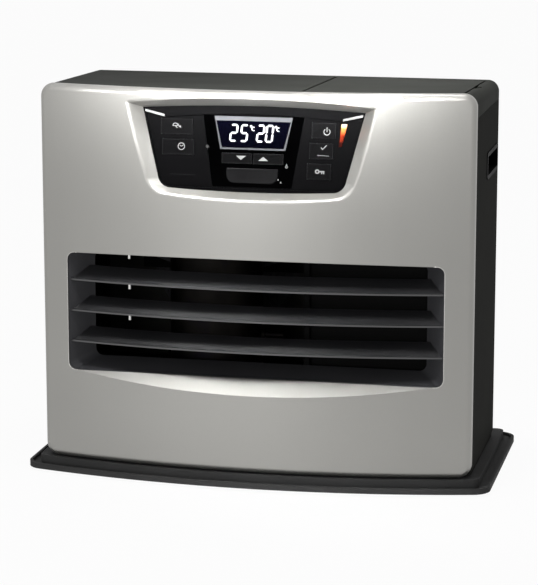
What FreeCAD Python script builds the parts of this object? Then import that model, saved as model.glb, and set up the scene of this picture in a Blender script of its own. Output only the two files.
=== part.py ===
import FreeCAD, Part
import math
import os
import re
import Sketcher
from FreeCAD import Placement, Rotation, Vector

# Paraffin heater, millimetres. X to the right, Y to the back, Z up.
# The origin is on the floor under the middle of the base tray.
doc = FreeCAD.newDocument("paraffin_heater")
sheet = doc.addObject("Spreadsheet::Sheet", "sizes")

SIZES = (
    # base tray
    ("tray_width", 500, "base tray over its rim"),
    ("tray_depth", 268, "base tray from the front of the bow to the back"),
    ("tray_bow", 32, "bow of the tray's front in plan"),
    ("tray_rim", 6, "height of the tray rim"),
    ("tray_wall", 3, "thickness of tray walls and floor"),
    ("tray_corner", 20, "tray corner radius in plan"),
    ("foot_height", 3, "rubber feet under the tray"),
    ("foot_radius", 11, "rubber feet"),
    ("foot_inset", 42, "foot centre in from the tray's sides"),
    ("foot_setback", 62, "foot centre in from the tray's front and back"),
    ("plinth_inset", 12, "plinth edge in from the tray's edge"),
    ("plinth_top", 15.5, "top of the plinth above the floor"),
    # front panel
    ("front_width", 460, "front panel over its rim"),
    ("front_bottom", 16.4, "lower edge of the front panel"),
    ("front_top", 418, "upper edge of the front panel"),
    ("bow_depth", 28, "bow of the front in plan"),
    ("face_setback", 12, "front face behind the tray's front"),
    ("panel_depth", 10, "depth of the panel's rim"),
    ("panel_wall", 2.5, "front panel wall"),
    ("rim_radius", 7, "rounding of the panel's rim"),
    ("panel_corner", 14, "corner radius of the panel seen from the front"),
    ("seam_gap", 0.4, "open seam between case pieces"),
    # air outlet
    ("grille_half", 201, "half width of the air outlet"),
    ("grille_bottom", 114, "lower edge of the air outlet"),
    ("grille_top", 240.7, "upper corners of the air outlet"),
    ("grille_arch", 2.9, "arch of the air outlet's upper edge"),
    ("grille_corner", 8, "corner radius of the air outlet"),
    ("crescent_half", 190, "half width of the sloping facet under the outlet"),
    ("crescent_drop", 14.5, "height of the facet in the middle"),
    ("frame_wall", 4, "wall of the outlet surround"),
    ("frame_depth", 26, "depth of the outlet funnel"),
    ("funnel_side", 22, "funnel walls draw in by this at each side"),
    ("funnel_floor", 10, "funnel floor rises by this"),
    ("funnel_roof", 3, "funnel roof falls by this"),
    ("blade_setback", 5, "blade edge behind the front face"),
    ("blade_depth", 22, "louvre blade from front to back"),
    ("blade_rise", 10, "louvre blade rises by this to the back"),
    ("blade_thick", 1.6, "louvre blade"),
    ("blade_bead", 1.8, "height of the blade's front edge"),
    ("blade_low", 145, "front edge of the lowest blade"),
    ("blade_pitch", 33.2, "blade spacing"),
    ("blade_sweep", 40, "angle that a blade is swept through"),
    ("peg_radius", 1.5, "stay pegs between the blades"),
    ("peg_length", 5.2, "stay pegs"),
    ("peg_x", 132, "stay pegs left of the middle"),
    # control recess
    ("control_setback", 12, "bezel's lower edge behind the front face"),
    ("control_drop", 105.7, "bezel's lower edge below the top"),
    ("control_tilt", 8, "control face leans back by this angle"),
    ("scoop_front", 28, "length of the recess funnel"),
    ("scoop_wall", 2.2, "wall of the recess funnel"),
    ("scoop_half", 140, "funnel mouth half width"),
    ("scoop_drop", 22.5, "funnel mouth below the bezel's lower edge"),
    ("scoop_rise", 7.7, "funnel mouth above the bezel's top corners"),
    ("scoop_round", 40, "funnel mouth lower corner radius"),
    ("scoop_lip", 4.5, "rounding of the recess edge on the front face"),
    ("bezel_top_half", 117.2, "bezel half width at the top corners"),
    ("bezel_top", 85, "bezel top corners above its lower edge"),
    ("bezel_arch", 4, "arch of the bezel's top edge"),
    ("bezel_low_half", 99.2, "bezel half width where the lower corners begin"),
    ("bezel_low", 14, "height where the lower corners begin"),
    ("bezel_foot_half", 87, "bezel half width where the lower edge begins"),
    ("bezel_sag", 2.5, "bow of the bezel's lower edge"),
    ("bezel_round", 14, "bezel lower corner radius"),
    ("bezel_lap", 1.8, "bezel reaches behind the recess edge by this"),
    ("bezel_rim", 1.3, "visible rim of the bezel"),
    ("dish_depth", 3, "control face below the bezel's edge"),
    ("face_plate", 3, "thickness of the control face"),
    ("ledge_half", 94, "half width of the ledge over the control face"),
    ("ledge_low", 75.8, "lower corners of the ledge"),
    ("ledge_arch", 4.6, "arch of the ledge's lower edge"),
    ("strip_height", 2.4, "bright corner strips"),
    ("strip_drop", 7.3, "fall of the bright corner strips"),
    # display
    ("window_top_half", 53, "display window half width at the top"),
    ("window_low_half", 41.5, "display window half width at the bottom"),
    ("window_low", 5.5, "lower edge of the display window"),
    ("window_high", 78.5, "upper edge of the display window"),
    ("window_thick", 2, "display window"),
    ("lcd_top_half", 41.1, "display frame half width at the top"),
    ("lcd_low_half", 34.3, "display frame half width at the bottom"),
    ("lcd_low", 44, "lower edge of the display frame"),
    ("lcd_high", 78, "upper edge of the display frame"),
    ("lcd_border", 1.7, "display frame border"),
    ("lcd_header", 4.6, "display frame border along the top"),
    ("lcd_frame_thick", 0.6, "display frame"),
    ("lcd_thick", 4, "display cell"),
    ("lens_half", 27.5, "indicator lens half width"),
    ("lens_low", 9, "lower edge of the indicator lens"),
    ("lens_high", 25, "upper edge of the indicator lens"),
    ("lens_round", 9, "lower corner radius of the indicator lens"),
    ("lens_proud", 1.2, "indicator lens stands out by this"),
    ("lamp_x", 90, "burner lamp right of the middle"),
    ("lamp_low", 50, "lower end of the burner lamp"),
    ("lamp_high", 73, "upper end of the burner lamp"),
    ("lamp_lean", 2.5, "burner lamp leans out by this"),
    ("lamp_low_width", 3, "burner lamp at the lower end"),
    ("lamp_top_width", 5.5, "burner lamp at the upper end"),
    # keys
    ("left_key_near", 64, "left keys, edge next to the display"),
    ("left_key_width", 34, "left keys"),
    ("right_key_near", 61.5, "right keys, edge next to the display"),
    ("right_key_width", 25, "right keys"),
    ("key_shift", 2, "each lower row of keys steps in by this"),
    ("key_top_row", 66, "middle of the top row of keys"),
    ("key_row_pitch", 21, "rows of keys"),
    ("key_height", 16, "keys"),
    ("mid_key_half", 32.5, "two keys under the display, half width"),
    ("mid_key_low", 29.5, "two keys under the display, lower edge"),
    ("mid_key_high", 40.5, "two keys under the display, upper edge"),
    ("mid_key_split", 0.8, "half the gap between the two keys"),
    ("key_gap", 0.3, "clearance around a key"),
    ("key_proud", 0.8, "keys stand out by this"),
    ("key_travel", 0.8, "key press"),
    ("key_flange", 1.2, "retaining flange around a key"),
    ("key_stop", 1.2, "thickness of the retaining flange"),
    ("board_gap", 5, "control board behind the control face"),
    ("board_thick", 1.6, "circuit boards"),
    ("switch_size", 6, "switch body under a key"),
    ("board_half", 110, "control board half width"),
    ("board_low", 6, "control board, lower edge"),
    ("board_high", 79, "control board, upper edge"),
    ("post_low_half", 78, "lower board posts from the middle"),
    ("post_high_half", 104, "upper board posts from the middle"),
    ("post_low", 10.5, "height of the lower board posts"),
    ("post_high", 72, "height of the upper board posts"),
    ("post_radius", 3.5, "board posts"),
    ("main_board_width", 180, "main board"),
    ("main_board_x", 20, "main board left of the middle"),
    ("block_width", 35, "blocks on the main board"),
    ("block_height", 30, "blocks on the main board"),
    ("block_out", 9, "blocks on the main board"),
    ("block_pitch", 48, "blocks on the main board"),
    ("tilt_gap", 53, "tilt switch to the side panel"),
    ("tilt_width", 26, "tilt switch"),
    ("tilt_depth", 16, "tilt switch"),
    ("tilt_height", 30, "tilt switch"),
    # cabinet
    ("cabinet_depth", 176, "side panels from front to back"),
    ("side_step", 1, "side panels in from the front panel's edge"),
    ("sheet_wall", 1, "steel sheet"),
    ("fold", 12, "folded edges of the steel sheets"),
    ("cover_height", 27, "top cover at its front edge"),
    ("cover_wall", 2.5, "top cover wall"),
    ("shoulder", 12, "rounding of the top cover's shoulders"),
    ("top_fall", 7, "fall of the top towards the back"),
    ("cover_brow", 8, "top cover's front edge over the control recess"),
    ("side_bottom", 21, "lower edge of the side panels"),
    ("pan_wall", 1.5, "base pan sheet"),
    ("pan_rim", 16, "upturned rim of the base pan"),
    ("bay_setback", 56, "front wall of the tank bay behind the front face"),
    # tank lid
    ("lid_left", 52, "tank lid, left edge"),
    ("lid_right", 215.8, "tank lid, right edge"),
    ("lid_front", 6, "tank lid behind the seam"),
    ("lid_back", 190, "tank lid, back edge behind the seam"),
    ("lid_gap", 0.9, "gap around the lid"),
    ("lid_groove", 1.4, "lid edge drawn in at the finger notch"),
    ("lid_thick", 3, "lid plate"),
    ("barrel_radius", 3, "hinge barrel of the lid"),
    ("pin_radius", 1.6, "hinge pin"),
    ("running_gap", 0.05, "radial clearance of turning pins"),
    ("flange_wall", 2, "flange around the lid opening"),
    ("flange_depth", 12, "depth of the flange"),
    ("notch_length", 24, "finger notch beside the lid"),
    ("notch_width", 6, "finger notch"),
    ("notch_depth", 1.4, "finger notch"),
    ("notch_corner", 2, "finger notch"),
    # hand grips
    ("grip_front", 3, "hand grip, front edge"),
    ("grip_length", 80, "hand grip"),
    ("grip_drop", 100, "hand grip's lower edge below the top"),
    ("grip_height", 24, "hand grip"),
    ("grip_depth", 22, "depth of the hand grip"),
    ("grip_wall", 1.6, "hand grip wall"),
    ("grip_corner", 2.6, "hand grip corner radius"),
    ("grip_lip", 2.4, "hand grip lip around the opening"),
    # rear and fan
    ("fan_x", 73, "fan axis left of the middle"),
    ("fan_z", 205, "fan axis above the floor"),
    ("fan_radius", 76, "fan blades"),
    ("fan_hole", 84, "round opening in the rear panel"),
    ("guard_radius", 90, "fan guard"),
    ("guard_thick", 1.6, "fan guard"),
    ("guard_bar", 3, "bars of the fan guard"),
    ("guard_hub", 26, "middle of the fan guard"),
    ("filter_half", 92, "fan filter half width"),
    ("filter_thick", 4, "fan filter"),
    ("filter_border", 7, "fan filter border"),
    ("filter_rib", 2, "fan filter ribs"),
    ("rail_wall", 1.6, "filter rails"),
    ("rail_gap", 0.4, "clearance of the filter in its rails"),
    ("motor_radius", 24, "fan motor"),
    ("motor_length", 16, "fan motor"),
    ("shaft_radius", 3, "fan shaft"),
    ("hub_radius", 15, "fan hub"),
    ("hub_length", 14, "fan hub"),
    ("fan_chord", 40, "fan blade width"),
    ("gland_x", 170, "cord gland left of the middle"),
    ("gland_z", 50, "cord gland above the floor"),
    ("gland_radius", 8, "cord gland"),
    ("gland_bore", 3.7, "bore of the cord gland"),
    ("slot_left", 70, "rear air slots"),
    ("slot_right", 190, "rear air slots"),
    ("slot_low", 60, "lowest rear air slot"),
    ("slot_height", 6, "rear air slots"),
    ("slot_pitch", 14, "rear air slots"),
    ("screw_low", 60, "lower rear screws"),
    ("screw_mid", 200, "middle rear screws"),
    ("screw_drop", 73, "upper rear screws below the top"),
    ("screw_length", 8, "rear screws"),
    ("screw_gap", 0.2, "clearance around a screw"),
    ("head_height", 2.2, "screw head"),
    ("screw_head", 4, "screw head radius"),
    ("screw_shank", 2, "screw shank radius"),
    # burner
    ("duct_left", 200, "warm-air duct, left wall"),
    ("duct_right", 54, "warm-air duct, right wall"),
    ("duct_floor", 98, "warm-air duct, floor"),
    ("duct_head", 88, "warm-air duct's top below the heater's top"),
    ("duct_tail", 36.4, "warm-air duct's back end before the rear panel"),
    ("burner_x", 60, "burner axis left of the middle"),
    ("burner_shift", 2.8, "burner axis behind the middle of the case"),
    ("chamber_radius", 50, "combustion chamber"),
    ("chamber_head", 36.5, "room over the combustion chamber in the duct"),
    ("pot_radius", 40, "burner pot"),
    ("pot_depth", 64, "burner pot"),
    ("pot_wall", 1.5, "burner pot and chamber walls"),
    ("gasket", 2, "burner gasket"),
    ("probe_radius", 3, "igniter and flame sensor rods"),
    ("blower_radius", 34, "blower housing"),
    ("blower_width", 36, "blower housing"),
    ("blower_wall", 1.6, "blower housing wall"),
    ("blower_motor", 30, "blower motor length"),
    ("pipe_radius", 2, "fuel pipe"),
    ("pump_radius", 13, "fuel pump"),
    ("pump_height", 34, "fuel pump"),
    # fuel
    ("sump_left", 14, "fuel sump, left wall"),
    ("sump_height", 40, "fuel sump"),
    ("tank_duct_gap", 12, "tank to the warm-air duct"),
    ("tank_grip_gap", 9, "tank to the hand grip"),
    ("tank_front_gap", 8, "tank to the front wall of its bay"),
    ("tank_back_gap", 16.4, "tank to the rear panel"),
    ("tank_head", 49.7, "tank's top below the heater's top"),
    ("tank_corner", 14, "tank corner radius"),
    ("tank_wall", 0.9, "tank sheet"),
    ("neck_radius", 22, "tank neck"),
    ("neck_length", 16, "tank neck"),
    ("cap_wall", 3, "tank cap"),
    ("cap_gap", 0.4, "clearance between neck and cap"),
    ("receiver_gap", 2.5, "clearance around the cap in its receiver"),
    ("receiver_height", 5, "receiver collar on the sump"),
    ("rest_gap", 0.3, "gap under a piece that lifts off"),
    ("bay_wall", 0.8, "tank bay sheet"),
    ("handle_height", 22, "tank handle"),
    ("handle_width", 90, "tank handle"),
    ("handle_depth", 16, "tank handle"),
    ("handle_thick", 5, "tank handle"),
)
ALIASES = {alias for alias, value, note in SIZES}
for row, (alias, value, note) in enumerate(SIZES, 1):
    sheet.set("A%d" % row, note)
    sheet.set("B%d" % row, str(value))
    sheet.setAlias("B%d" % row, alias)
doc.recompute()

nodes = []


# expressions: a bare size name stands for its cell in the sheet
def cell(text):
    def lookup(word):
        return "sizes." + word.group(0) if word.group(0) in ALIASES else word.group(0)
    return re.sub(r"[A-Za-z_][A-Za-z_0-9]*", lookup, str(text))


def num(text):
    return float(sheet.evalExpression(cell(text)))


# positions that many pieces share
FACE = "(face_setback - tray_depth / 2)"
BOW = "((front_width ^ 2 / 4 + bow_depth ^ 2) / (2 * bow_depth))"
SEAM = "(" + FACE + " + panel_depth + seam_gap)"
EDGE = "(" + FACE + " + bow_depth + panel_depth + seam_gap)"
BACK = "(" + EDGE + " + cabinet_depth)"
HALF = "(front_width / 2 - side_step)"
REAR = "(" + BACK + " - 2 * sheet_wall)"
PAN = "(plinth_top + pan_wall)"
SUMP = "(" + PAN + " + sump_height)"
TANK_FLOOR = "(" + SUMP + " + receiver_height + rest_gap)"
COVER_BOTTOM = "(front_top - cover_height)"
BAY_FRONT = "(" + FACE + " + bay_setback)"
BURNER_Y = "((" + FACE + " + " + BACK + ") / 2 + burner_shift)"
DUCT_TOP = "(front_top - duct_head)"
DUCT_BACK = "(" + REAR + " - duct_tail)"
KEY_FACE = "dish_depth"
PLATE_BACK = "(dish_depth + face_plate)"


def sag(half, radius=BOW):
    return "(%s - sqrt((%s) ^ 2 - (%s) ^ 2))" % (radius, radius, half)


# building blocks
def new_body(name):
    body = doc.addObject("PartDesign::Body", name)
    body.Label = name
    return body


def keep(name, thing):
    thing.Label = name
    nodes.append((name, thing))
    return thing


def move(thing, x="0", y="0", z="0"):
    for axis, text in zip("xyz", (x, y, z)):
        thing.setExpression(".Placement.Base." + axis, cell(text))
    return thing


def lean_back(thing, x, y, z, angle):
    thing.Placement = Placement(Vector(), Rotation(Vector(-1, 0, 0), 5))
    thing.setExpression(".Placement.Rotation.Angle", cell(angle))
    return move(thing, x, y, z)


def on_control_face(thing):
    return lean_back(thing, "0", FACE + " + control_setback", "front_top - control_drop",
                     "control_tilt")


def on_top(thing):
    return lean_back(thing, "0", SEAM, "front_top", "atan(top_fall / (%s - %s))" % (BACK, SEAM))


def arc_through(p, q, radius, inward):
    half = (q - p).Length / 2
    side = Vector(p.y - q.y, q.x - p.x, 0).normalize()
    rise = math.sqrt(max(radius * radius - half * half, 0.0))
    centre = (p + q) / 2 + side * (-rise if inward else rise)
    first, last = (q, p) if inward else (p, q)
    begin = math.atan2(first.y - centre.y, first.x - centre.x)
    end = math.atan2(last.y - centre.y, last.x - centre.x)
    return Part.ArcOfCircle(Part.Circle(centre, Vector(0, 0, 1), radius), begin, end)


def pin_point(sketch, geo, pos, x, y):
    for kind, text in (("DistanceX", x), ("DistanceY", y)):
        index = sketch.addConstraint(Sketcher.Constraint(kind, -1, 1, geo, pos, num(text)))
        sketch.setExpression("Constraints[%d]" % index, cell(text))


def pin_radius(sketch, geo, text):
    index = sketch.addConstraint(Sketcher.Constraint("Radius", geo, num(text)))
    sketch.setExpression("Constraints[%d]" % index, cell(text))


def draw_loop(sketch, loop):
    if loop[0] == "circle":
        kind, x, y, radius = loop
        circle = Part.Circle(Vector(num(x), num(y), 0), Vector(0, 0, 1), num(radius))
        geo = sketch.addGeometry(circle, False)
        pin_point(sketch, geo, 3, x, y)
        pin_radius(sketch, geo, radius)
        return
    corners = [Vector(num(v[0]), num(v[1]), 0) for v in loop]
    ends = []
    for i, vertex in enumerate(loop):
        p, q = corners[i], corners[(i + 1) % len(loop)]
        if len(vertex) == 2:
            ends.append((sketch.addGeometry(Part.LineSegment(p, q), False), 1, 2))
            continue
        inward = len(vertex) == 4
        geo = sketch.addGeometry(arc_through(p, q, num(vertex[2]), inward), False)
        ends.append((geo, 2, 1) if inward else (geo, 1, 2))
    for i, (geo, start, end) in enumerate(ends):
        follow, follow_start, follow_end = ends[(i + 1) % len(ends)]
        sketch.addConstraint(Sketcher.Constraint("Coincident", geo, end, follow, follow_start))
    for vertex, (geo, start, end) in zip(loop, ends):
        pin_point(sketch, geo, start, vertex[0], vertex[1])
        if len(vertex) > 2:
            pin_radius(sketch, geo, vertex[2])


def draw(body, plane, offset, loops):
    sketch = body.newObject("Sketcher::SketchObject", body.Name + "_sketch")
    support = [o for o in body.Origin.OriginFeatures if o.Role == plane + "_Plane"][0]
    sketch.AttachmentSupport = (support, [""])
    sketch.MapMode = "FlatFace"
    sign = "-" if plane == "XZ" else ""
    sketch.setExpression(".AttachmentOffset.Base.z", cell("%s(%s)" % (sign, offset)))
    for loop in loops:
        draw_loop(sketch, loop)
    return sketch


def pad(body, plane, low, high, *loops):
    feature = body.newObject("PartDesign::Pad", body.Name + "_pad")
    feature.Profile = draw(body, plane, low, loops)
    feature.setExpression("Length", cell("(%s) - (%s)" % (high, low)))
    feature.Reversed = plane == "XZ"
    body.Tip = feature
    return feature


def pocket(body, plane, low, high, *loops):
    feature = body.newObject("PartDesign::Pocket", body.Name + "_pocket")
    feature.Profile = draw(body, plane, low, loops)
    feature.setExpression("Length", cell("(%s) - (%s)" % (high, low)))
    feature.Reversed = plane != "XZ"
    body.Tip = feature
    return feature


def loft(body, low, high, low_loop, high_loop):
    feature = body.newObject("PartDesign::AdditiveLoft", body.Name + "_loft")
    feature.Profile = draw(body, "XZ", low, [low_loop])
    feature.Sections = [draw(body, "XZ", high, [high_loop])]
    feature.Ruled = True
    body.Tip = feature
    return feature


def turn(body, loop, angle="360"):
    feature = body.newObject("PartDesign::Revolution", body.Name + "_turn")
    feature.Profile = draw(body, "XZ", "0", [loop])
    axis = [o for o in body.Origin.OriginFeatures if o.Role == "Z_Axis"][0]
    feature.ReferenceAxis = (axis, [""])
    feature.setExpression("Angle", cell(angle))
    feature.Midplane = angle != "360"
    body.Tip = feature
    return feature


def ring_of(body, feature, count, axis_role="Y_Axis"):
    pattern = body.newObject("PartDesign::PolarPattern", body.Name + "_ring")
    pattern.Originals = [feature]
    axis = [o for o in body.Origin.OriginFeatures if o.Role == axis_role][0]
    pattern.Axis = (axis, [""])
    pattern.Angle = 360.0
    pattern.Occurrences = count
    body.Tip = pattern
    return pattern


def row_of(body, feature, role, count, length):
    pattern = body.newObject("PartDesign::LinearPattern", body.Name + "_row")
    pattern.Originals = [feature]
    axis = [o for o in body.Origin.OriginFeatures if o.Role == role][0]
    pattern.Direction = (axis, [""])
    pattern.setExpression("Length", cell(length))
    pattern.Occurrences = count
    body.Tip = pattern
    return pattern


def round_edges(body, feature, test, radius):
    doc.recompute()
    names = ["Edge%d" % i for i, edge in enumerate(feature.Shape.Edges, 1) if test(edge)]
    fillet = body.newObject("PartDesign::Fillet", body.Name + "_round")
    fillet.Base = (feature, names)
    fillet.setExpression("Radius", cell(radius))
    body.Tip = fillet
    return fillet


PARALLEL = 0.99
TOUCHING = 0.01


def points_along(edge, axis):
    ends = [v.Point for v in edge.Vertexes]
    return len(ends) == 2 and abs((ends[1] - ends[0]).normalize().dot(axis)) > PARALLEL


ALONG_Y = Vector(0, 1, 0)
ALONG_Z = Vector(0, 0, 1)


def box(name, low, high):
    block = doc.addObject("Part::Box", name)
    for prop, lo, hi in zip(("Length", "Width", "Height"), low, high):
        block.setExpression(prop, cell("(%s) - (%s)" % (hi, lo)))
    return move(block, *low)


TURNS = {
    "X": Rotation(Vector(0, 1, 0), 90),
    "Y": Rotation(Vector(1, 0, 0), -90),
    "Z": Rotation(),
}


def rod(name, axis, start, length, radius):
    part = doc.addObject("Part::Cylinder", name)
    part.Placement = Placement(Vector(), TURNS[axis])
    part.setExpression("Radius", cell(radius))
    part.setExpression("Height", cell(length))
    return move(part, *start)


def cut(name, base, *tools):
    result = base
    for i, tool in enumerate(tools):
        step = doc.addObject("Part::Cut", name if i == len(tools) - 1 else name + "_cut")
        step.Base = result
        step.Tool = tool
        result = step
    return result


def fuse(name, *parts):
    result = doc.addObject("Part::MultiFuse", name)
    result.Shapes = list(parts)
    return result


def common(name, first, second):
    result = doc.addObject("Part::MultiCommon", name)
    result.Shapes = [first, second]
    return result


def group(name, parts):
    result = doc.addObject("Part::Compound", name)
    result.Links = list(parts)
    return result


def rectangle(x0, y0, x1, y1):
    return [(x0, y0), (x1, y0), (x1, y1), (x0, y1)]


def rounded(x0, y0, x1, y1, r):
    return [
        ("(%s) + (%s)" % (x0, r), y0), ("(%s) - (%s)" % (x1, r), y0, r),
        (x1, "(%s) + (%s)" % (y0, r)), (x1, "(%s) - (%s)" % (y1, r), r),
        ("(%s) - (%s)" % (x1, r), y1), ("(%s) + (%s)" % (x0, r), y1, r),
        (x0, "(%s) - (%s)" % (y1, r)), (x0, "(%s) + (%s)" % (y0, r), r),
    ]


def bowed(half, middle, radius, back):
    front = "(%s) + %s" % (middle, sag(half, radius))
    return [("-(%s)" % half, front, radius), (half, front), (half, back), ("-(%s)" % half, back)]


# base tray, its feet and the plinth that carries the case
TRAY_BOW = "((tray_width ^ 2 / 4 + tray_bow ^ 2) / (2 * tray_bow))"


def tray_outline(inset):
    half = "(tray_width / 2 - (%s))" % inset
    middle = "(%s) - tray_depth / 2" % inset
    return bowed(half, middle, "(%s - (%s))" % (TRAY_BOW, inset), "tray_depth / 2 - (%s)" % inset)


def upright(edge):
    return points_along(edge, ALONG_Z)


def tray_prism(name, inset, low, high):
    body = new_body(name)
    block = pad(body, "XY", low, high, tray_outline(inset))
    round_edges(body, block, upright, "tray_corner - (%s)" % inset)
    return body


def make_base():
    rim_top = "foot_height + tray_rim"
    edge = tray_prism("tray_edge", "0", "foot_height", rim_top)
    channel = tray_prism("tray_channel", "tray_wall", "foot_height + tray_wall", rim_top)
    plinth = tray_prism("tray_plinth", "plinth_inset", "foot_height", "plinth_top")
    under = tray_prism("tray_under", "plinth_inset + tray_wall", "foot_height", "plinth_top - tray_wall")
    whole = fuse("tray_whole", cut("tray_dish", edge, channel), plinth)
    keep("base_tray", cut("base_tray", whole, under))
    feet = []
    for side in (-1, 1):
        for end in (-1, 1):
            x = "%d * (tray_width / 2 - foot_inset)" % side
            y = "%d * (tray_depth / 2 - foot_setback)" % end
            stud = rod("foot_pad", "Z", (x, y, "0"), "plinth_top - tray_wall", "foot_radius")
            feet.append(stud)
    keep("rubber_feet", group("rubber_feet", feet))

    pan = new_body("base_pan")
    half = "(%s - sheet_wall - seam_gap)" % HALF
    front = "(%s + panel_wall + 2 * sheet_wall)" % SEAM
    back = "(%s - seam_gap)" % REAR
    pad(pan, "XY", "plinth_top", "plinth_top + pan_rim", bowed(half, front, BOW, back))
    pocket(pan, "XY", PAN, "plinth_top + pan_rim",
           bowed("%s - pan_wall" % half, "%s + pan_wall" % front, BOW, "%s - pan_wall" % back))
    keep("base_pan", pan)


# silver front panel: bowed shell, recess funnel, outlet opening with a sloping facet
def arch_radius(half, rise):
    return "((%s) ^ 2 + (%s) ^ 2) / (2 * (%s))" % (half, rise, rise)


def scoop_mouth(grow):
    foot = "(scoop_half - scoop_round)"
    side = "(scoop_half + (%s))" % grow
    corner = "scoop_round + (%s)" % grow
    drop = "-(scoop_drop + (%s))" % grow
    shoulder = "scoop_round - scoop_drop"
    rise = "bezel_top + scoop_rise + (%s)" % grow
    return [("-" + foot, drop), (foot, drop, corner), (side, shoulder),
            (side, rise, arch_radius(side, "bezel_arch")), ("-" + side, rise),
            ("-" + side, shoulder, corner)]


def bezel_loop(grow):
    return [
        ("-bezel_foot_half", "bezel_sag - (%s)" % grow, arch_radius("bezel_foot_half", "bezel_sag")),
        ("bezel_foot_half", "bezel_sag - (%s)" % grow, "bezel_round + (%s)" % grow),
        ("bezel_low_half + (%s)" % grow, "bezel_low"),
        ("bezel_top_half + (%s)" % grow, "bezel_top + (%s)" % grow,
         arch_radius("bezel_top_half + (%s)" % grow, "bezel_arch")),
        ("-(bezel_top_half + (%s))" % grow, "bezel_top + (%s)" % grow),
        ("-(bezel_low_half + (%s))" % grow, "bezel_low", "bezel_round + (%s)" % grow),
    ]


def outlet_loop(grow):
    half = "(grille_half + (%s))" % grow
    corner = "(grille_corner + (%s))" % grow
    flat = "(%s - %s)" % (half, corner)
    low = "(grille_bottom - (%s))" % grow
    high = "(grille_top + (%s))" % grow
    return [("-" + flat, low), (flat, low, corner), (half, "%s + %s" % (low, corner)),
            (half, "%s - %s" % (high, corner), corner), (flat, high, arch_radius(flat, "grille_arch")),
            ("-" + flat, high, corner), ("-" + half, "%s - %s" % (high, corner)),
            ("-" + half, "%s + %s" % (low, corner), corner)]


FACET_Y = "(" + FACE + " + " + sag("crescent_half") + ")"
FACET_SLOPE = "(crescent_drop / " + sag("crescent_half") + ")"


def facet_z(y, lower="0"):
    return "grille_bottom + %s * ((%s) - %s) - (%s)" % (FACET_SLOPE, y, FACET_Y, lower)


def front_slab(name, inset, back):
    body = new_body(name)
    half = "(front_width / 2 - (%s))" % inset
    radius = "(%s - (%s))" % (BOW, inset)
    middle = "(%s + (%s))" % (FACE, inset)
    front = "%s + %s" % (middle, sag(half, radius))
    slab = pad(body, "XY", "front_bottom + (%s)" % inset, "front_top - (%s)" % inset, [
        ("-" + half, front, radius), (half, front),
        (half, "%s + %s + %s" % (FACE, sag(half), back), BOW, "in"),
        ("-" + half, "%s + %s + %s" % (FACE, sag(half), back))])

    def corner(edge):
        return points_along(edge, ALONG_Y)

    def rim(edge):
        point = edge.valueAt((edge.FirstParameter + edge.LastParameter) / 2)
        return abs(point.y - num("%s + %s" % (middle, sag(abs(point.x), radius)))) < TOUCHING

    slab = round_edges(body, slab, corner, "panel_corner - (%s)" % inset)
    round_edges(body, slab, rim, "rim_radius - (%s)" % inset)
    return body


def on_recess_lip(edge):
    begin, end = edge.FirstParameter, edge.LastParameter
    for point in (edge.valueAt(begin), edge.valueAt((begin + end) / 2), edge.valueAt(end)):
        off_face = abs(point.y - num("%s + %s" % (FACE, sag(abs(point.x)))))
        if off_face > TOUCHING or abs(point.x) > num("scoop_half"):
            return False
        if not num("grille_top + scoop_drop") < point.z < num("front_top - rim_radius"):
            return False
    return True


def make_front():
    outer = front_slab("front_slab", "0", "panel_depth")
    inner = front_slab("front_hollow", "panel_wall", "2 * panel_depth")
    shell = cut("front_shell", outer, inner)
    behind_face = new_body("behind_face")
    pad(behind_face, "XY", "front_bottom + panel_corner", "front_top - rim_radius",
        bowed("front_width / 2 - panel_corner", FACE, BOW, "0"))
    scoop_wall = new_body("scoop_wall")
    loft(scoop_wall, "-scoop_front", "0", scoop_mouth("scoop_wall"), bezel_loop("scoop_wall"))
    on_control_face(scoop_wall)
    scoop_space = new_body("scoop_space")
    loft(scoop_space, "-scoop_front", "0", scoop_mouth("0"), bezel_loop("0"))
    on_control_face(scoop_space)
    facet = new_body("facet_plate")
    near = "(%s - bow_depth)" % FACET_Y
    depth = "panel_wall * sqrt(1 + %s ^ 2)" % FACET_SLOPE
    pad(facet, "YZ", "-grille_half", "grille_half", [
        (near, facet_z(near, depth)), (FACET_Y, facet_z(FACET_Y, depth)),
        (FACET_Y, facet_z(FACET_Y)), (near, facet_z(near))])
    wedge = new_body("facet_space")
    pad(wedge, "YZ", "-crescent_half", "crescent_half", [
        (near, facet_z(near)), (FACET_Y, facet_z(FACET_Y)),
        (FACET_Y, "grille_bottom + grille_corner"), (near, "grille_bottom + grille_corner")])
    opening = new_body("outlet_opening")
    pad(opening, "XZ", "%s - 1" % FACE, "%s + bow_depth + panel_wall" % FACE, outlet_loop("0"))
    added = common("front_added", behind_face, fuse("front_walls", scoop_wall, facet))
    whole = fuse("front_whole", shell, added)
    opened = cut("front_opened", whole, scoop_space, opening, wedge)
    doc.recompute()
    lip = [i for i, edge in enumerate(opened.Shape.Edges, 1) if on_recess_lip(edge)]
    panel = doc.addObject("Part::Fillet", "front_panel")
    panel.Base = opened
    panel.Edges = [(i, num("scoop_lip"), num("scoop_lip")) for i in lip]
    keep("front_panel", panel)


# air outlet: funnel surround, three blades swept along the bow, stay pegs
FUNNEL_Y = "(" + FACE + " + " + sag("grille_half") + " + panel_wall + seam_gap)"


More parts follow.
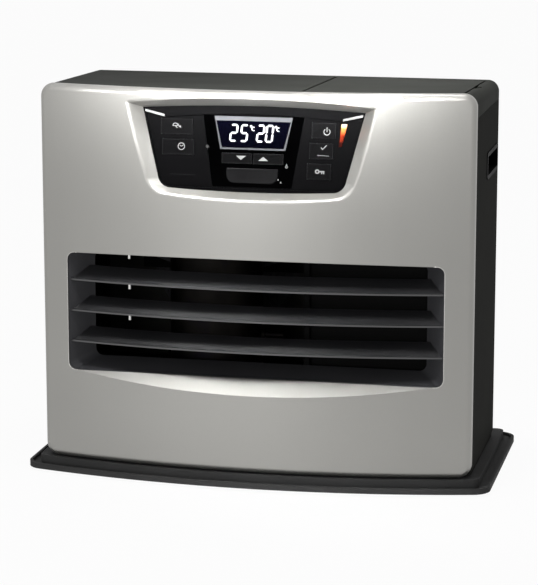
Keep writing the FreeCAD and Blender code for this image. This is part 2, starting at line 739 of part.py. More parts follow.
def make_outlet():
    mouth = outlet_loop("0")
    throat = rounded("funnel_side - grille_half", "grille_bottom + funnel_floor",
                     "grille_half - funnel_side", "grille_top - funnel_roof", "grille_corner")
    funnel = new_body("funnel_space")
    loft(funnel, FUNNEL_Y, "%s + frame_depth" % FUNNEL_Y, mouth, throat)
    front = new_body("mouth_space")
    pad(front, "XZ", FACE, FUNNEL_Y, mouth)
    space = fuse("outlet_space", funnel, front)

    block = new_body("frame_block")
    pad(block, "XZ", FACE, "%s + frame_depth" % FUNNEL_Y, outlet_loop("frame_wall"))
    inside = new_body("behind_skin")
    skin = "(panel_wall + seam_gap)"
    pad(inside, "XY", "grille_bottom - 2 * frame_wall", "grille_top + grille_arch + 2 * frame_wall",
        bowed("grille_half + 2 * frame_wall", "%s + %s" % (FACE, skin), "%s - %s" % (BOW, skin), "0"))
    beyond = "(grille_half + 2 * frame_wall)"
    facet_room = box("facet_room", ("-" + beyond, FACE, "grille_bottom - 2 * frame_wall"),
                     (beyond, "%s + seam_gap" % FACET_Y, "grille_bottom + seam_gap"))
    keep("louvre_frame", cut("louvre_frame", common("frame_bowed", block, inside), space, facet_room))

    for count, name in enumerate(("louvre_blade_low", "louvre_blade_mid", "louvre_blade_top")):
        z = "(blade_low + %d * blade_pitch)" % count
        blade = new_body(name + "_sweep")
        edge = "(%s - blade_setback)" % BOW
        tail_r = "(%s - blade_depth)" % edge
        turn(blade, [
            (tail_r, "%s + blade_rise" % z), ("%s - 2 * blade_bead" % edge, "%s - blade_thick" % z),
            (edge, "%s - blade_bead" % z), (edge, z), ("%s - 2 * blade_bead" % edge, "%s" % z),
            (tail_r, "%s + blade_rise + blade_thick" % z)], "blade_sweep")
        blade.Placement = Placement(Vector(), Rotation(Vector(0, 0, 1), -90))
        move(blade, "0", "%s + %s" % (FACE, BOW), "0")
        keep(name, common(name, blade, space))

    pegs = []
    peg_y = "%s + %s + blade_setback + 2 * blade_bead" % (FACE, sag("peg_x"))
    reach = "(blade_bead - blade_thick) * (1 - peg_radius / (2 * blade_bead)) - running_gap"
    for count in range(1, 3):
        foot = ("-peg_x", peg_y, "blade_low + %d * blade_pitch - blade_bead - peg_length" % count)
        pegs.append(rod("stay_peg", "Z", foot, "peg_length + %s" % reach, "peg_radius"))
    arch = arch_radius("grille_half - grille_corner", "grille_arch")
    roof = "(grille_top + grille_arch - %s)" % sag("(peg_x + peg_radius)", arch)
    foot = ("-peg_x", peg_y, "%s - running_gap - peg_length" % roof)
    pegs.append(rod("stay_peg", "Z", foot, "peg_length", "peg_radius"))
    keep("louvre_stays", group("louvre_stays", pegs))


# control face: bezel, display, keys and the board behind them, all leaning back together
def trapezium(top_half, low_half, low, high):
    return [("-(%s)" % low_half, low), (low_half, low), (top_half, high), ("-(%s)" % top_half, high)]


def side_key(side, row):
    word = "left" if side < 0 else "right"
    near = "(%s_key_near - %d * key_shift)" % (word, row)
    far = "(%s + %s_key_width)" % (near, word)
    middle = "(key_top_row - %d * key_row_pitch)" % row
    low = "%s - key_height / 2" % middle
    high = "%s + key_height / 2" % middle
    return ("-" + far, low, "-" + near, high) if side < 0 else (near, low, far, high)


KEYS = {
    "key_save": side_key(-1, 0),
    "key_timer": side_key(-1, 1),
    "key_down": ("-mid_key_half", "mid_key_low", "-mid_key_split", "mid_key_high"),
    "key_up": ("mid_key_split", "mid_key_low", "mid_key_half", "mid_key_high"),
    "key_power": side_key(1, 0),
    "key_extend": side_key(1, 1),
    "key_lock": side_key(1, 2),
}
DISPLAY_KEYS = ("key_down", "key_up")


def grown(rect, by):
    x0, y0, x1, y1 = rect
    return ("(%s) - (%s)" % (x0, by), "(%s) - (%s)" % (y0, by),
            "(%s) + (%s)" % (x1, by), "(%s) + (%s)" % (y1, by))


def lens_loop(grow):
    half = "(lens_half + (%s))" % grow
    low = "(lens_low - (%s))" % grow
    high = "(lens_high + (%s))" % grow
    return [("-(%s - lens_round)" % half, low), ("%s - lens_round" % half, low, "lens_round"),
            (half, "%s + lens_round" % low), (half, high), ("-%s" % half, high),
            ("-%s" % half, "%s + lens_round" % low, "lens_round")]


def lcd_loop(inset, header):
    return trapezium("lcd_top_half - (%s)" % inset, "lcd_low_half - (%s)" % inset,
                     "lcd_low + (%s)" % inset, "lcd_high - (%s)" % header)


def strip_loop(side):
    x0 = "%d * (bezel_top_half - 2 * bezel_rim)" % side
    x1 = "%d * ledge_half" % side
    high = "ledge_low + strip_drop"
    return [(x0, "%s - strip_height" % high), (x0, high),
            (x1, "ledge_low + strip_height"), (x1, "ledge_low")]


def lamp_loop(grow):
    left = "lamp_x - (%s)" % grow
    lean = "%s + lamp_lean" % left
    low = "lamp_low - (%s)" % grow
    high = "lamp_high + (%s)" % grow
    return [(left, low), ("%s + lamp_low_width + 2 * (%s)" % (left, grow), low),
            ("%s + lamp_top_width + 2 * (%s)" % (lean, grow), high), (lean, high)]


def make_controls():
    bezel = new_body("bezel_mould")
    pad(bezel, "XZ", "seam_gap", PLATE_BACK, bezel_loop("bezel_lap"))
    pocket(bezel, "XZ", "0", KEY_FACE, [
        ("-bezel_foot_half", "bezel_sag + bezel_rim"),
        ("bezel_foot_half", "bezel_sag + bezel_rim", "bezel_round - bezel_rim"),
        ("bezel_low_half - bezel_rim", "bezel_low"),
        ("bezel_top_half - 2 * bezel_rim", "ledge_low + strip_drop - strip_height"),
        ("ledge_half", "ledge_low", arch_radius("ledge_half", "ledge_arch")), ("-ledge_half", "ledge_low"),
        ("2 * bezel_rim - bezel_top_half", "ledge_low + strip_drop - strip_height"),
        ("bezel_rim - bezel_low_half", "bezel_low", "bezel_round - bezel_rim")])
    pocket(bezel, "XZ", KEY_FACE, "%s + window_thick" % KEY_FACE,
           trapezium("window_top_half + key_gap", "window_low_half + key_gap", "window_low - key_gap",
                     "window_high + key_gap"))
    pocket(bezel, "XZ", "0", "%s + 1" % PLATE_BACK,
           lcd_loop("lcd_border - key_gap", "lcd_header - key_gap"),
           *[rectangle(*grown(rect, "key_gap")) for rect in KEYS.values()])
    pocket(bezel, "XZ", KEY_FACE, "%s + window_thick" % KEY_FACE, lamp_loop("key_gap"))
    for side in (-1, 1):
        for half, z in (("post_low_half", "post_low"), ("post_high_half", "post_high")):
            post = ("circle", "%d * %s" % (side, half), z, "post_radius")
            pad(bezel, "XZ", PLATE_BACK, "%s + board_gap" % PLATE_BACK, post)
    on_control_face(bezel)
    strips = []
    for side in (-1, 1):
        strip = new_body("corner_strip")
        pad(strip, "XZ", "0", KEY_FACE, strip_loop(side))
        strips.append(on_control_face(strip))
    keep("corner_strips", group("corner_strips", strips))
    keep("control_bezel", cut("control_bezel", bezel, *strips))

    window = new_body("display_window")
    pad(window, "XZ", KEY_FACE, "%s + window_thick" % KEY_FACE,
        trapezium("window_top_half", "window_low_half", "window_low", "window_high"),
        lcd_loop("lcd_border - key_gap", "lcd_header - key_gap"), lens_loop("key_gap"),
        *[rectangle(*grown(KEYS[name], "key_gap")) for name in DISPLAY_KEYS])
    keep("display_window", on_control_face(window))
    frame = new_body("lcd_frame")
    pad(frame, "XZ", "%s - lcd_frame_thick" % KEY_FACE, KEY_FACE, lcd_loop("0", "0"),
        lcd_loop("lcd_border", "lcd_header"))
    keep("lcd_frame", on_control_face(frame))
    lcd = new_body("lcd_cell")
    pad(lcd, "XZ", KEY_FACE, "%s + lcd_thick" % KEY_FACE, lcd_loop("lcd_border", "lcd_header"))
    keep("lcd_cell", on_control_face(lcd))
    lens = new_body("indicator_lens")
    pad(lens, "XZ", "%s - lens_proud" % KEY_FACE, "%s + window_thick" % KEY_FACE, lens_loop("0"))
    keep("indicator_lens", on_control_face(lens))
    lamp = new_body("burner_lamp")
    pad(lamp, "XZ", "%s - lcd_frame_thick" % KEY_FACE, "%s + window_thick" % KEY_FACE, lamp_loop("0"))
    keep("burner_lamp", on_control_face(lamp))

    board_front = "(%s + board_gap)" % PLATE_BACK
    board = new_body("control_board")
    pad(board, "XZ", board_front, "%s + board_thick" % board_front,
        rectangle("-board_half", "board_low", "board_half", "board_high"))
    for name, rect in KEYS.items():
        key = new_body(name)
        key_back = "%s + key_gap + key_stop" % PLATE_BACK
        pad(key, "XZ", "%s - key_proud" % KEY_FACE, key_back, rectangle(*rect))
        stop = "2 * key_gap" if name in DISPLAY_KEYS else "key_flange"
        flange = (rect[0], "%s - %s" % (rect[1], stop), rect[2], "%s + %s" % (rect[3], stop))
        pad(key, "XZ", "%s + key_gap" % PLATE_BACK, key_back, rectangle(*flange))
        keep(name, on_control_face(key))
        x = "((%s) + (%s)) / 2" % (rect[0], rect[2])
        z = "((%s) + (%s)) / 2" % (rect[1], rect[3])
        pad(board, "XZ", "%s + 2 * key_gap + key_stop + key_travel" % PLATE_BACK, board_front,
            rectangle("%s - switch_size / 2" % x, "%s - switch_size / 2" % z, "%s + switch_size / 2" % x,
                      "%s + switch_size / 2" % z))
    keep("control_board", on_control_face(board))


# top cover with the tank lid's opening, and the lid
def lid_loop(grow, groove="0"):
    left = "(lid_left - (%s))" % grow
    right = "(lid_right + (%s) - (%s))" % (grow, groove)
    return [(left, "lid_front - (%s) + %s" % (grow, sag(left)), BOW),
            (right, "lid_front - (%s) + %s" % (grow, sag(right))),
            (right, "lid_back + (%s)" % grow), (left, "lid_back + (%s)" % grow)]


def cover_block(name, inset):
    body = new_body(name)
    half = "(%s - (%s))" % (HALF, inset)
    low = COVER_BOTTOM if inset == "0" else COVER_BOTTOM + " - 1"
    middle = "%s + (%s)" % (SEAM, inset)
    outline = bowed(half, middle, "%s - (%s)" % (BOW, inset), "%s - (%s)" % (BACK, inset))
    pad(body, "XY", low, "front_top", outline)
    drop = "top_fall / (%s - %s)" % (BACK, SEAM)
    far = "(%s + 5)" % BACK
    near = "(%s - 5)" % SEAM
    wedge = pocket(body, "YZ", "-front_width", "front_width", [
        (near, "front_top - (%s) - %s * (%s - %s)" % (inset, drop, near, SEAM)),
        (far, "front_top - (%s) - %s * (%s - %s)" % (inset, drop, far, SEAM)),
        (far, "front_top + 9"), (near, "front_top + 9")])

    def shoulder(edge):
        middle = edge.CenterOfMass
        return points_along(edge, ALONG_Y) and middle.z > num(COVER_BOTTOM + " + 5")

    round_edges(body, wedge, shoulder, "shoulder - (%s)" % inset)
    return body


def make_top():
    shell = cut("cover_shell", cover_block("cover_block", "0"), cover_block("cover_inside", "cover_wall"))
    flange = new_body("lid_flange")
    pad(flange, "XY", "-flange_depth", "-cover_wall / 2",
        lid_loop("lid_gap + flange_wall"), lid_loop("lid_gap"))
    on_top(flange)
    ledge = new_body("lid_ledge")
    shelf = lid_loop("lid_gap + flange_wall")
    shelf_back = "(%s - (%s) - bay_wall)" % (BAY_FRONT, SEAM)
    pad(ledge, "XY", "-flange_depth", "cover_wall - flange_depth",
        [shelf[0], shelf[1], (shelf[2][0], shelf_back), (shelf[3][0], shelf_back)])
    on_top(ledge)
    opening = new_body("lid_opening")
    pad(opening, "XY", "-cover_wall * 2", "cover_wall", lid_loop("lid_gap"))
    on_top(opening)
    barrel_x = "lid_left + barrel_radius"
    barrel_front = "(lid_front + %s)" % sag(barrel_x)
    bore = new_body("hinge_bore")
    pad(bore, "XZ", "%s - 2 * flange_wall" % barrel_front, "lid_back + 2 * flange_wall",
        ("circle", barrel_x, "-barrel_radius", "pin_radius + running_gap"))
    on_top(bore)
    notch = new_body("finger_notch")
    pad(notch, "XY", "-notch_depth", "cover_wall",
        rounded("lid_right", "lid_back / 2", "lid_right + notch_width", "lid_back / 2 + notch_length",
                "notch_corner"))
    on_top(notch)
    room_half = "(scoop_half + fold)"
    room = box("recess_room", ("-" + room_half, "%s - cover_wall" % SEAM, COVER_BOTTOM + " - cover_wall"),
               (room_half, "%s + %s + 2 * cover_wall" % (SEAM, sag(room_half)), "front_top - cover_brow"))
    whole = fuse("cover_whole", shell, flange, ledge)
    keep("top_cover", cut("top_cover", whole, opening, bore, notch, room))

    lid = new_body("tank_lid")
    plate = pad(lid, "XY", "-lid_thick", "0", lid_loop("0", "lid_groove"))

    def left_edge(edge):
        middle = edge.CenterOfMass
        return points_along(edge, ALONG_Y) and middle.x < num("lid_left + 1") and middle.z > -0.5

    round_edges(lid, plate, left_edge, "lid_thick - running_gap")
    end = "(lid_gap + flange_wall - seam_gap)"
    pad(lid, "XZ", "%s + 1" % barrel_front, "lid_back - 1",
        ("circle", barrel_x, "-barrel_radius", "barrel_radius"))
    pad(lid, "XZ", "%s - %s" % (barrel_front, end), "lid_back + %s" % end,
        ("circle", barrel_x, "-barrel_radius", "pin_radius"))
    keep("tank_lid", on_top(lid))


# side panels with hand grips, rear panel
GRIP_BACK = "(grip_front + grip_length)"
GRIP_LOW = "(front_top - grip_drop)"
GRIP_TOP = "(" + GRIP_LOW + " + grip_height)"
SCREW_Z = ("screw_low", "screw_mid", "front_top - screw_drop")


def make_sides():
    for side, word in ((-1, "left"), (1, "right")):
        panel = new_body("side_panel_" + word)
        outer = "%d * %s" % (side, HALF)
        inner = "%d * (%s - sheet_wall)" % (side, HALF)
        lip = "%d * (%s - fold)" % (side, HALF)
        front = EDGE
        loop = [(outer, front), (outer, BACK), (lip, BACK), (lip, "%s - sheet_wall" % BACK),
                (inner, "%s - sheet_wall" % BACK), (inner, "%s + sheet_wall" % front),
                (lip, "%s + sheet_wall" % front), (lip, front)]
        pad(panel, "XY", "side_bottom", COVER_BOTTOM + " - seam_gap", loop)
        low, high = sorted((outer, inner), key=num)
        pocket(panel, "YZ", "%s - 1" % low, "%s + 1" % high,
               rounded("grip_front", GRIP_LOW, GRIP_BACK, GRIP_TOP, "grip_corner"))
        hole = "%d * (%s - fold / 2)" % (side, HALF)
        pocket(panel, "XZ", "%s - 2 * sheet_wall" % BACK, "%s + 1" % BACK,
               *[("circle", hole, z, "screw_shank + screw_gap") for z in SCREW_Z])
        keep("side_panel_" + word, panel)

        grip = new_body("hand_grip_" + word)
        floor = "%d * (%s - grip_depth)" % (side, HALF)
        lip_x = "%d * (%s + sheet_wall)" % (side, HALF)
        low, high = sorted((floor, outer), key=num)
        clear = "rail_gap"
        pad(grip, "YZ", low, high, rounded("grip_front + %s" % clear, "%s + %s" % (GRIP_LOW, clear),
            "%s - %s" % (GRIP_BACK, clear), "%s - %s" % (GRIP_TOP, clear), "grip_corner - %s" % clear))
        low, high = sorted((outer, lip_x), key=num)
        pad(grip, "YZ", low, high, rounded("grip_front - grip_lip", GRIP_LOW + " - grip_lip",
            "%s + grip_lip" % GRIP_BACK, "%s + grip_lip" % GRIP_TOP, "grip_corner + grip_lip"))
        low, high = sorted(("%d * (%s - grip_depth + grip_wall)" % (side, HALF), lip_x), key=num)
        wall = "(%s + grip_wall)" % clear
        pocket(grip, "YZ", low, high, rounded("grip_front + %s" % wall, "%s + %s" % (GRIP_LOW, wall),
               "%s - %s" % (GRIP_BACK, wall), "%s - %s" % (GRIP_TOP, wall), "grip_corner - %s" % wall))
        keep("hand_grip_" + word, grip)


SLOTS = 8
GUARD_RINGS = 4
GUARD_BARS = 8


def height_on(radius, x):
    return "sqrt(%s ^ 2 - (%s) ^ 2)" % (radius, x)


def bar_end(radius):
    return "%s * sin(360 / %d) - guard_bar / 2" % (radius, GUARD_BARS)


def make_rear():
    panel = new_body("rear_panel")
    half = "(%s - sheet_wall - seam_gap)" % HALF
    hole_x = "%s - fold / 2" % HALF
    pad(panel, "XZ", REAR, "%s - sheet_wall" % BACK,
        rectangle("-" + half, PAN, half, COVER_BOTTOM + " - seam_gap"))
    holes = [("circle", "%d * (%s)" % (side, hole_x), z, "screw_shank + screw_gap")
             for side in (-1, 1) for z in SCREW_Z]
    pocket(panel, "XZ", "%s - 1" % REAR, BACK, ("circle", "-fan_x", "fan_z", "fan_hole"),
           ("circle", "-gland_x", "gland_z", "gland_radius + key_gap"), *holes)
    slot = pocket(panel, "XZ", "%s - 1" % REAR, BACK,
                  rounded("slot_left", "slot_low", "slot_right", "slot_low + slot_height",
                          "slot_height * 0.48"))
    row_of(panel, slot, "Z_Axis", SLOTS, "%d * slot_pitch" % (SLOTS - 1))
    keep("rear_panel", panel)

    screws = []
    for side in (-1, 1):
        for z in SCREW_Z:
            x = "%d * (%s)" % (side, hole_x)
            head = rod("rear_screw_head", "Y", (x, BACK, z), "head_height", "screw_head")
            tip = (x, "%s - screw_length" % BACK, z)
            shank = rod("rear_screw_shank", "Y", tip, "screw_length", "screw_shank")
            screws.append(fuse("rear_screw", head, shank))
    keep("rear_screws", group("rear_screws", screws))

    guard = new_body("fan_guard")
    pad(guard, "XZ", "0", "guard_thick", ("circle", "0", "0", "guard_radius"))
    step = "((fan_hole - guard_hub) / %d)" % GUARD_RINGS
    loops = []
    for ring in range(GUARD_RINGS):
        low = "(guard_hub + %d * %s)" % (ring, step)
        high = "(%s + %s - guard_bar)" % (low, step)
        first = "guard_bar / 2"
        loops.append([
            (first, height_on(low, first), low, "in"),
            (bar_end(low), height_on(low, bar_end(low))),
            (bar_end(high), height_on(high, bar_end(high)), high),
            (first, height_on(high, first))])
    slots = pocket(guard, "XZ", "-1", "guard_thick + 1", *loops)
    ring_of(guard, slots, GUARD_BARS)
    keep("fan_guard", move(guard, "-fan_x", "%s - sheet_wall" % BACK, "fan_z"))


# convection fan: bracket, motor, rotor, and the filter that slides up out of its rails
def make_fan():
    bar_front = "(%s - guard_thick)" % REAR
    reach = "(fan_hole + fold)"
    keep("fan_bracket", box("fan_bracket", ("-fan_x - %s" % reach, bar_front, "fan_z - hub_radius"),
                            ("%s - fan_x" % reach, REAR, "fan_z + hub_radius")))
    motor_front = "(%s - motor_length)" % bar_front
    case = rod("motor_case", "Y", ("-fan_x", motor_front, "fan_z"), "motor_length", "motor_radius")
    bore = rod("motor_bore", "Y", ("-fan_x", motor_front, "fan_z"), "motor_length - rail_wall",
               "shaft_radius + running_gap")
    keep("fan_motor", cut("fan_motor", case, bore))

    rotor = new_body("rotor_mould")
    pad(rotor, "XZ", "0", "hub_length", ("circle", "0", "0", "hub_radius"))
    vane = pad(rotor, "XY", "hub_radius - 2", "fan_radius + 4", [
        ("-fan_chord / 2", "blade_bead - blade_thick / 2"),
        ("fan_chord / 2", "hub_length - blade_bead - blade_thick / 2"),
        ("fan_chord / 2", "hub_length - blade_bead + blade_thick / 2"),
        ("-fan_chord / 2", "blade_bead + blade_thick / 2")])
    ring_of(rotor, vane, 5)
    pad(rotor, "XZ", "0", "hub_length + motor_length - 2 * rail_wall", ("circle", "0", "0", "shaft_radius"))
    hub_front = "%s - hub_length - rail_wall" % motor_front
    move(rotor, "-fan_x", hub_front, "fan_z")
    disc = rod("rotor_disc", "Y", ("-fan_x", "%s - hub_length" % hub_front, "fan_z"), "4 * hub_length",
               "fan_radius")
    keep("fan_rotor", common("fan_rotor", rotor, disc))

    sheet_back = "(%s - sheet_wall)" % BACK
    filter_front = "(%s + guard_thick + rail_gap)" % sheet_back
    net = new_body("fan_filter")
    inner = "(filter_half - filter_border)"
    pad(net, "XZ", "0", "filter_thick",
        rectangle("-filter_half", "-filter_half", "filter_half", "filter_half"),
        rectangle("-" + inner, "-" + inner, inner, inner))
    ribs = 5
    step = "(2 * %s / %d)" % (inner, ribs + 1)
    first = "(%s - %s - filter_rib / 2)" % (step, inner)
    upright_rib = pad(net, "XZ", "0", "filter_rib",
                      rectangle(first, "-" + inner, "%s + filter_rib" % first, inner))
    row_of(net, upright_rib, "X_Axis", ribs, "%d * %s" % (ribs - 1, step))
    level_rib = pad(net, "XZ", "0", "filter_rib",
                    rectangle("-" + inner, first, inner, "%s + filter_rib" % first))
    row_of(net, level_rib, "Z_Axis", ribs, "%d * %s" % (ribs - 1, step))
    keep("fan_filter", move(net, "-fan_x", filter_front, "fan_z"))

    rails = new_body("filter_rails")
    near = "(filter_half + rail_gap)"
    far = "(%s + rail_wall)" % near
    lap = "(filter_half - filter_border / 2)"
    high = "filter_half"

    def channel(inner_half):
        return [("-" + far, "-" + far), (far, "-" + far), (far, high), (inner_half, high),
                (inner_half, "-" + inner_half), ("-" + inner_half, "-" + inner_half),
                ("-" + inner_half, high), ("-" + far, high)]

    lip = "(guard_thick + filter_thick + 2 * rail_gap)"
    pad(rails, "XZ", "0", lip, channel(near))
    pad(rails, "XZ", lip, "%s + rail_wall" % lip, channel(lap))
    keep("filter_rails", move(rails, "-fan_x", sheet_back, "fan_z"))

    seat = ("-gland_x", sheet_back, "gland_z")
    inside = ("-gland_x", "%s - fold" % sheet_back, "gland_z")
    body = fuse("gland_mould", rod("gland_sleeve", "Y", inside, "fold", "gland_radius"),
                rod("gland_flange", "Y", seat, "face_plate", "gland_radius + fold / 3"),
                rod("gland_nose", "Y", seat, "fold", "gland_radius - sheet_wall"))
    hole = rod("gland_hole", "Y", inside, "2 * fold", "gland_bore")
    keep("cord_gland", cut("cord_gland", body, hole))


# warm-air duct, burner, combustion blower
POT_LOW = "(duct_floor - pot_depth)"
CHAMBER_LOW = "(duct_floor + pot_wall + gasket)"
CHAMBER_TOP = "(" + DUCT_TOP + " - chamber_head)"
PIPE_Z = "(" + POT_LOW + " + pot_depth / 2)"
BLOWER_X = "(burner_x + pot_radius + fold)"
BLOWER_Z = "(" + PAN + " + blower_radius + pan_wall)"
IGNITER_Z = "(" + CHAMBER_LOW + " + pot_radius / 2)"
SENSOR_Z = "(" + CHAMBER_LOW + " + pot_radius)"


def make_burner():
    duct = new_body("air_duct")
    front = "(%s + frame_depth + seam_gap)" % FUNNEL_Y
    wall = "sheet_wall"
    under = "duct_floor - sheet_wall"
    pad(duct, "XZ", front, DUCT_BACK, [
        ("-duct_left", PAN), ("sheet_wall - duct_left", PAN), ("sheet_wall - duct_left", under),
        ("duct_right", under), ("duct_right", DUCT_TOP), ("-duct_left", DUCT_TOP)],
        rectangle("sheet_wall - duct_left", "duct_floor", "duct_right - sheet_wall",
                  DUCT_TOP + " - sheet_wall"))
    pad(duct, "XZ", front, "%s + %s" % (front, wall),
        rectangle("-duct_left", under, "duct_right", DUCT_TOP),
        rectangle("funnel_side - grille_half", "grille_bottom + funnel_floor", "duct_right - fold / 2",
                  "grille_top - funnel_roof"))
    pocket(duct, "XY", "%s - 1" % under, "duct_floor + 1",
           ("circle", "-burner_x", BURNER_Y, "pot_radius + seam_gap"))
    keep("air_duct", duct)

    axis = ("-burner_x", BURNER_Y, "0")
    pot = new_body("pot_pressing")
    turn(pot, [("0", POT_LOW), ("pot_radius", POT_LOW), ("pot_radius", "duct_floor"),
               ("chamber_radius", "duct_floor"), ("chamber_radius", "duct_floor + pot_wall"),
               ("pot_radius - pot_wall", "duct_floor + pot_wall"),
               ("pot_radius - pot_wall", "%s + pot_wall" % POT_LOW), ("0", "%s + pot_wall" % POT_LOW)])
    move(pot, *axis)
    air_hole = rod("air_hole", "X", ("-%s" % BLOWER_X, BURNER_Y, BLOWER_Z), "fold + pot_radius / 2",
                   "probe_radius * 2.5")
    fuel_hole = rod("fuel_hole", "X", ("-burner_x", BURNER_Y, PIPE_Z), "2 * pot_radius",
                    "pipe_radius + key_gap")
    keep("burner_pot", cut("burner_pot", pot, air_hole, fuel_hole))

    ring = new_body("burner_gasket")
    turn(ring, [("pot_radius", "duct_floor + pot_wall"), ("chamber_radius", "duct_floor + pot_wall"),
                ("chamber_radius", CHAMBER_LOW), ("pot_radius", CHAMBER_LOW)])
    keep("burner_gasket", move(ring, *axis))

    chamber = new_body("combustion_chamber")
    inner = "(chamber_radius - pot_wall)"
    roof = "%s - pot_wall" % CHAMBER_TOP
    floor = "%s + pot_wall" % CHAMBER_LOW
    turn(chamber, [("pot_radius", CHAMBER_LOW), ("chamber_radius", CHAMBER_LOW),
                   ("chamber_radius", CHAMBER_TOP), ("0", CHAMBER_TOP), ("0", roof), (inner, roof),
                   (inner, floor), ("pot_radius", floor)])
    pocket(chamber, "YZ", "-chamber_radius - 1", "-pot_radius",
           ("circle", "0", IGNITER_Z, "probe_radius + key_gap"))
    pocket(chamber, "YZ", "pot_radius", "chamber_radius + 1",
           ("circle", "0", SENSOR_Z, "probe_radius + key_gap"))
    slot = pocket(chamber, "XZ", "-chamber_radius - 1", "-pot_radius",
                  rounded("-probe_radius", "%s - 3 * fold" % CHAMBER_TOP, "probe_radius",
                          "%s - fold" % CHAMBER_TOP, "probe_radius * 0.9"))
    ring_of(chamber, slot, 10, "Z_Axis")
    keep("combustion_chamber", move(chamber, *axis))

    for name, side, z in (("igniter", -1, IGNITER_Z), ("flame_sensor", 1, SENSOR_Z)):
        collar_x = "chamber_radius + key_gap"
        far = "chamber_radius + 2 * fold"
        start = "-burner_x + %s" % ("pot_radius / 2" if side > 0 else "-(%s)" % far)
        stem = rod(name + "_rod", "X", (start, BURNER_Y, z), "%s - pot_radius / 2" % far, "probe_radius")
        collar = "-burner_x + %s" % (collar_x if side > 0 else "-(%s + probe_radius)" % collar_x)
        cuff = rod(name + "_collar", "X", (collar, BURNER_Y, z), "probe_radius", "2 * probe_radius")
        keep(name, fuse(name, stem, cuff))
    seat = ("-burner_x", BURNER_Y, DUCT_TOP)
    can = rod("switch_can", "Z", seat, "2 * probe_radius", "3 * probe_radius")
    stud = rod("switch_stud", "Z", seat, "3 * probe_radius", "probe_radius")
    keep("overheat_switch", fuse("overheat_switch", can, stud))


def make_blower():
    left = "(%s + blower_width)" % BLOWER_X
    drum = rod("blower_drum", "X", ("-" + left, BURNER_Y, BLOWER_Z), "blower_width", "blower_radius")
    foot = box("blower_foot", ("-%s + fold / 2" % left, BURNER_Y + " - fold", PAN),
               ("-%s - fold / 2" % BLOWER_X, BURNER_Y + " + fold", BLOWER_Z))
    spout = rod("blower_spout", "X", ("-%s" % BLOWER_X, BURNER_Y, BLOWER_Z), "fold - seam_gap",
                "probe_radius * 3")
    hollow = rod("blower_hollow", "X", ("blower_wall - %s" % left, BURNER_Y, BLOWER_Z),
                 "blower_width - 2 * blower_wall", "blower_radius - blower_wall")
    spout_hole = rod("spout_hole", "X", ("-%s - 2 * blower_wall" % BLOWER_X, BURNER_Y, BLOWER_Z),
                     "2 * fold", "probe_radius * 2.5")
    shaft_hole = rod("shaft_hole", "X", ("-%s - 1" % left, BURNER_Y, BLOWER_Z),
                     "2 * blower_wall + 1", "probe_radius * 2")
    whole = fuse("blower_whole", drum, foot, spout)
    keep("blower_housing", cut("blower_housing", whole, hollow, spout_hole, shaft_hole))
    case = rod("blower_case", "X", ("-%s - blower_motor" % left, BURNER_Y, BLOWER_Z),
               "blower_motor", "probe_radius * 6")
    bore = rod("blower_bore", "X", ("-%s - blower_motor / 2" % left, BURNER_Y, BLOWER_Z),
               "blower_motor / 2", "probe_radius + running_gap")
    keep("blower_motor", cut("blower_motor", case, bore))
    wheel = new_body("blower_impeller")
    room = "(blower_width - 2 * blower_wall - 2 * face_plate)"
    pad(wheel, "YZ", "0", "blower_wall", ("circle", "0", "0", "blower_radius - blower_wall - face_plate"))
    vane = pad(wheel, "YZ", "0", room, rectangle("blower_radius / 2", "-blower_wall / 2",
               "blower_radius - blower_wall - 2 * face_plate", "blower_wall / 2"))
    ring_of(wheel, vane, 12, "X_Axis")
    pad(wheel, "YZ", "-blower_wall - face_plate - blower_motor / 3", "blower_wall",
        ("circle", "0", "0", "probe_radius"))
    keep("blower_impeller", move(wheel, "blower_wall + face_plate - %s" % left, BURNER_Y, BLOWER_Z))


# fuel: sump, receiver, strainer, lift-out tank with handle and cap, bay wall, pump and pipe
CAP_IN = "(neck_radius + cap_gap)"
CAP_OUT = "(" + CAP_IN + " + cap_wall)"
CAP_LOW = "(" + TANK_FLOOR + " - neck_length - cap_gap - cap_wall)"
RECEIVER = "(" + CAP_OUT + " + receiver_gap + pan_wall)"
RECEIVER_LOW = "(" + PAN + " + fold / 2)"
TANK_TOP = "(front_top - tank_head)"
TANK_LEFT = "(duct_right + tank_duct_gap)"
TANK_RIGHT = "(" + HALF + " - grip_depth - tank_grip_gap)"
TANK_FRONT = "(" + BAY_FRONT + " + tank_front_gap)"
TANK_BACK = "(" + REAR + " - tank_back_gap)"
TANK_X = "((" + TANK_LEFT + " + " + TANK_RIGHT + ") / 2)"
TANK_Y = "((" + TANK_FRONT + " + " + TANK_BACK + ") / 2)"
PUMP_X = "(sump_left + pump_radius + face_plate)"


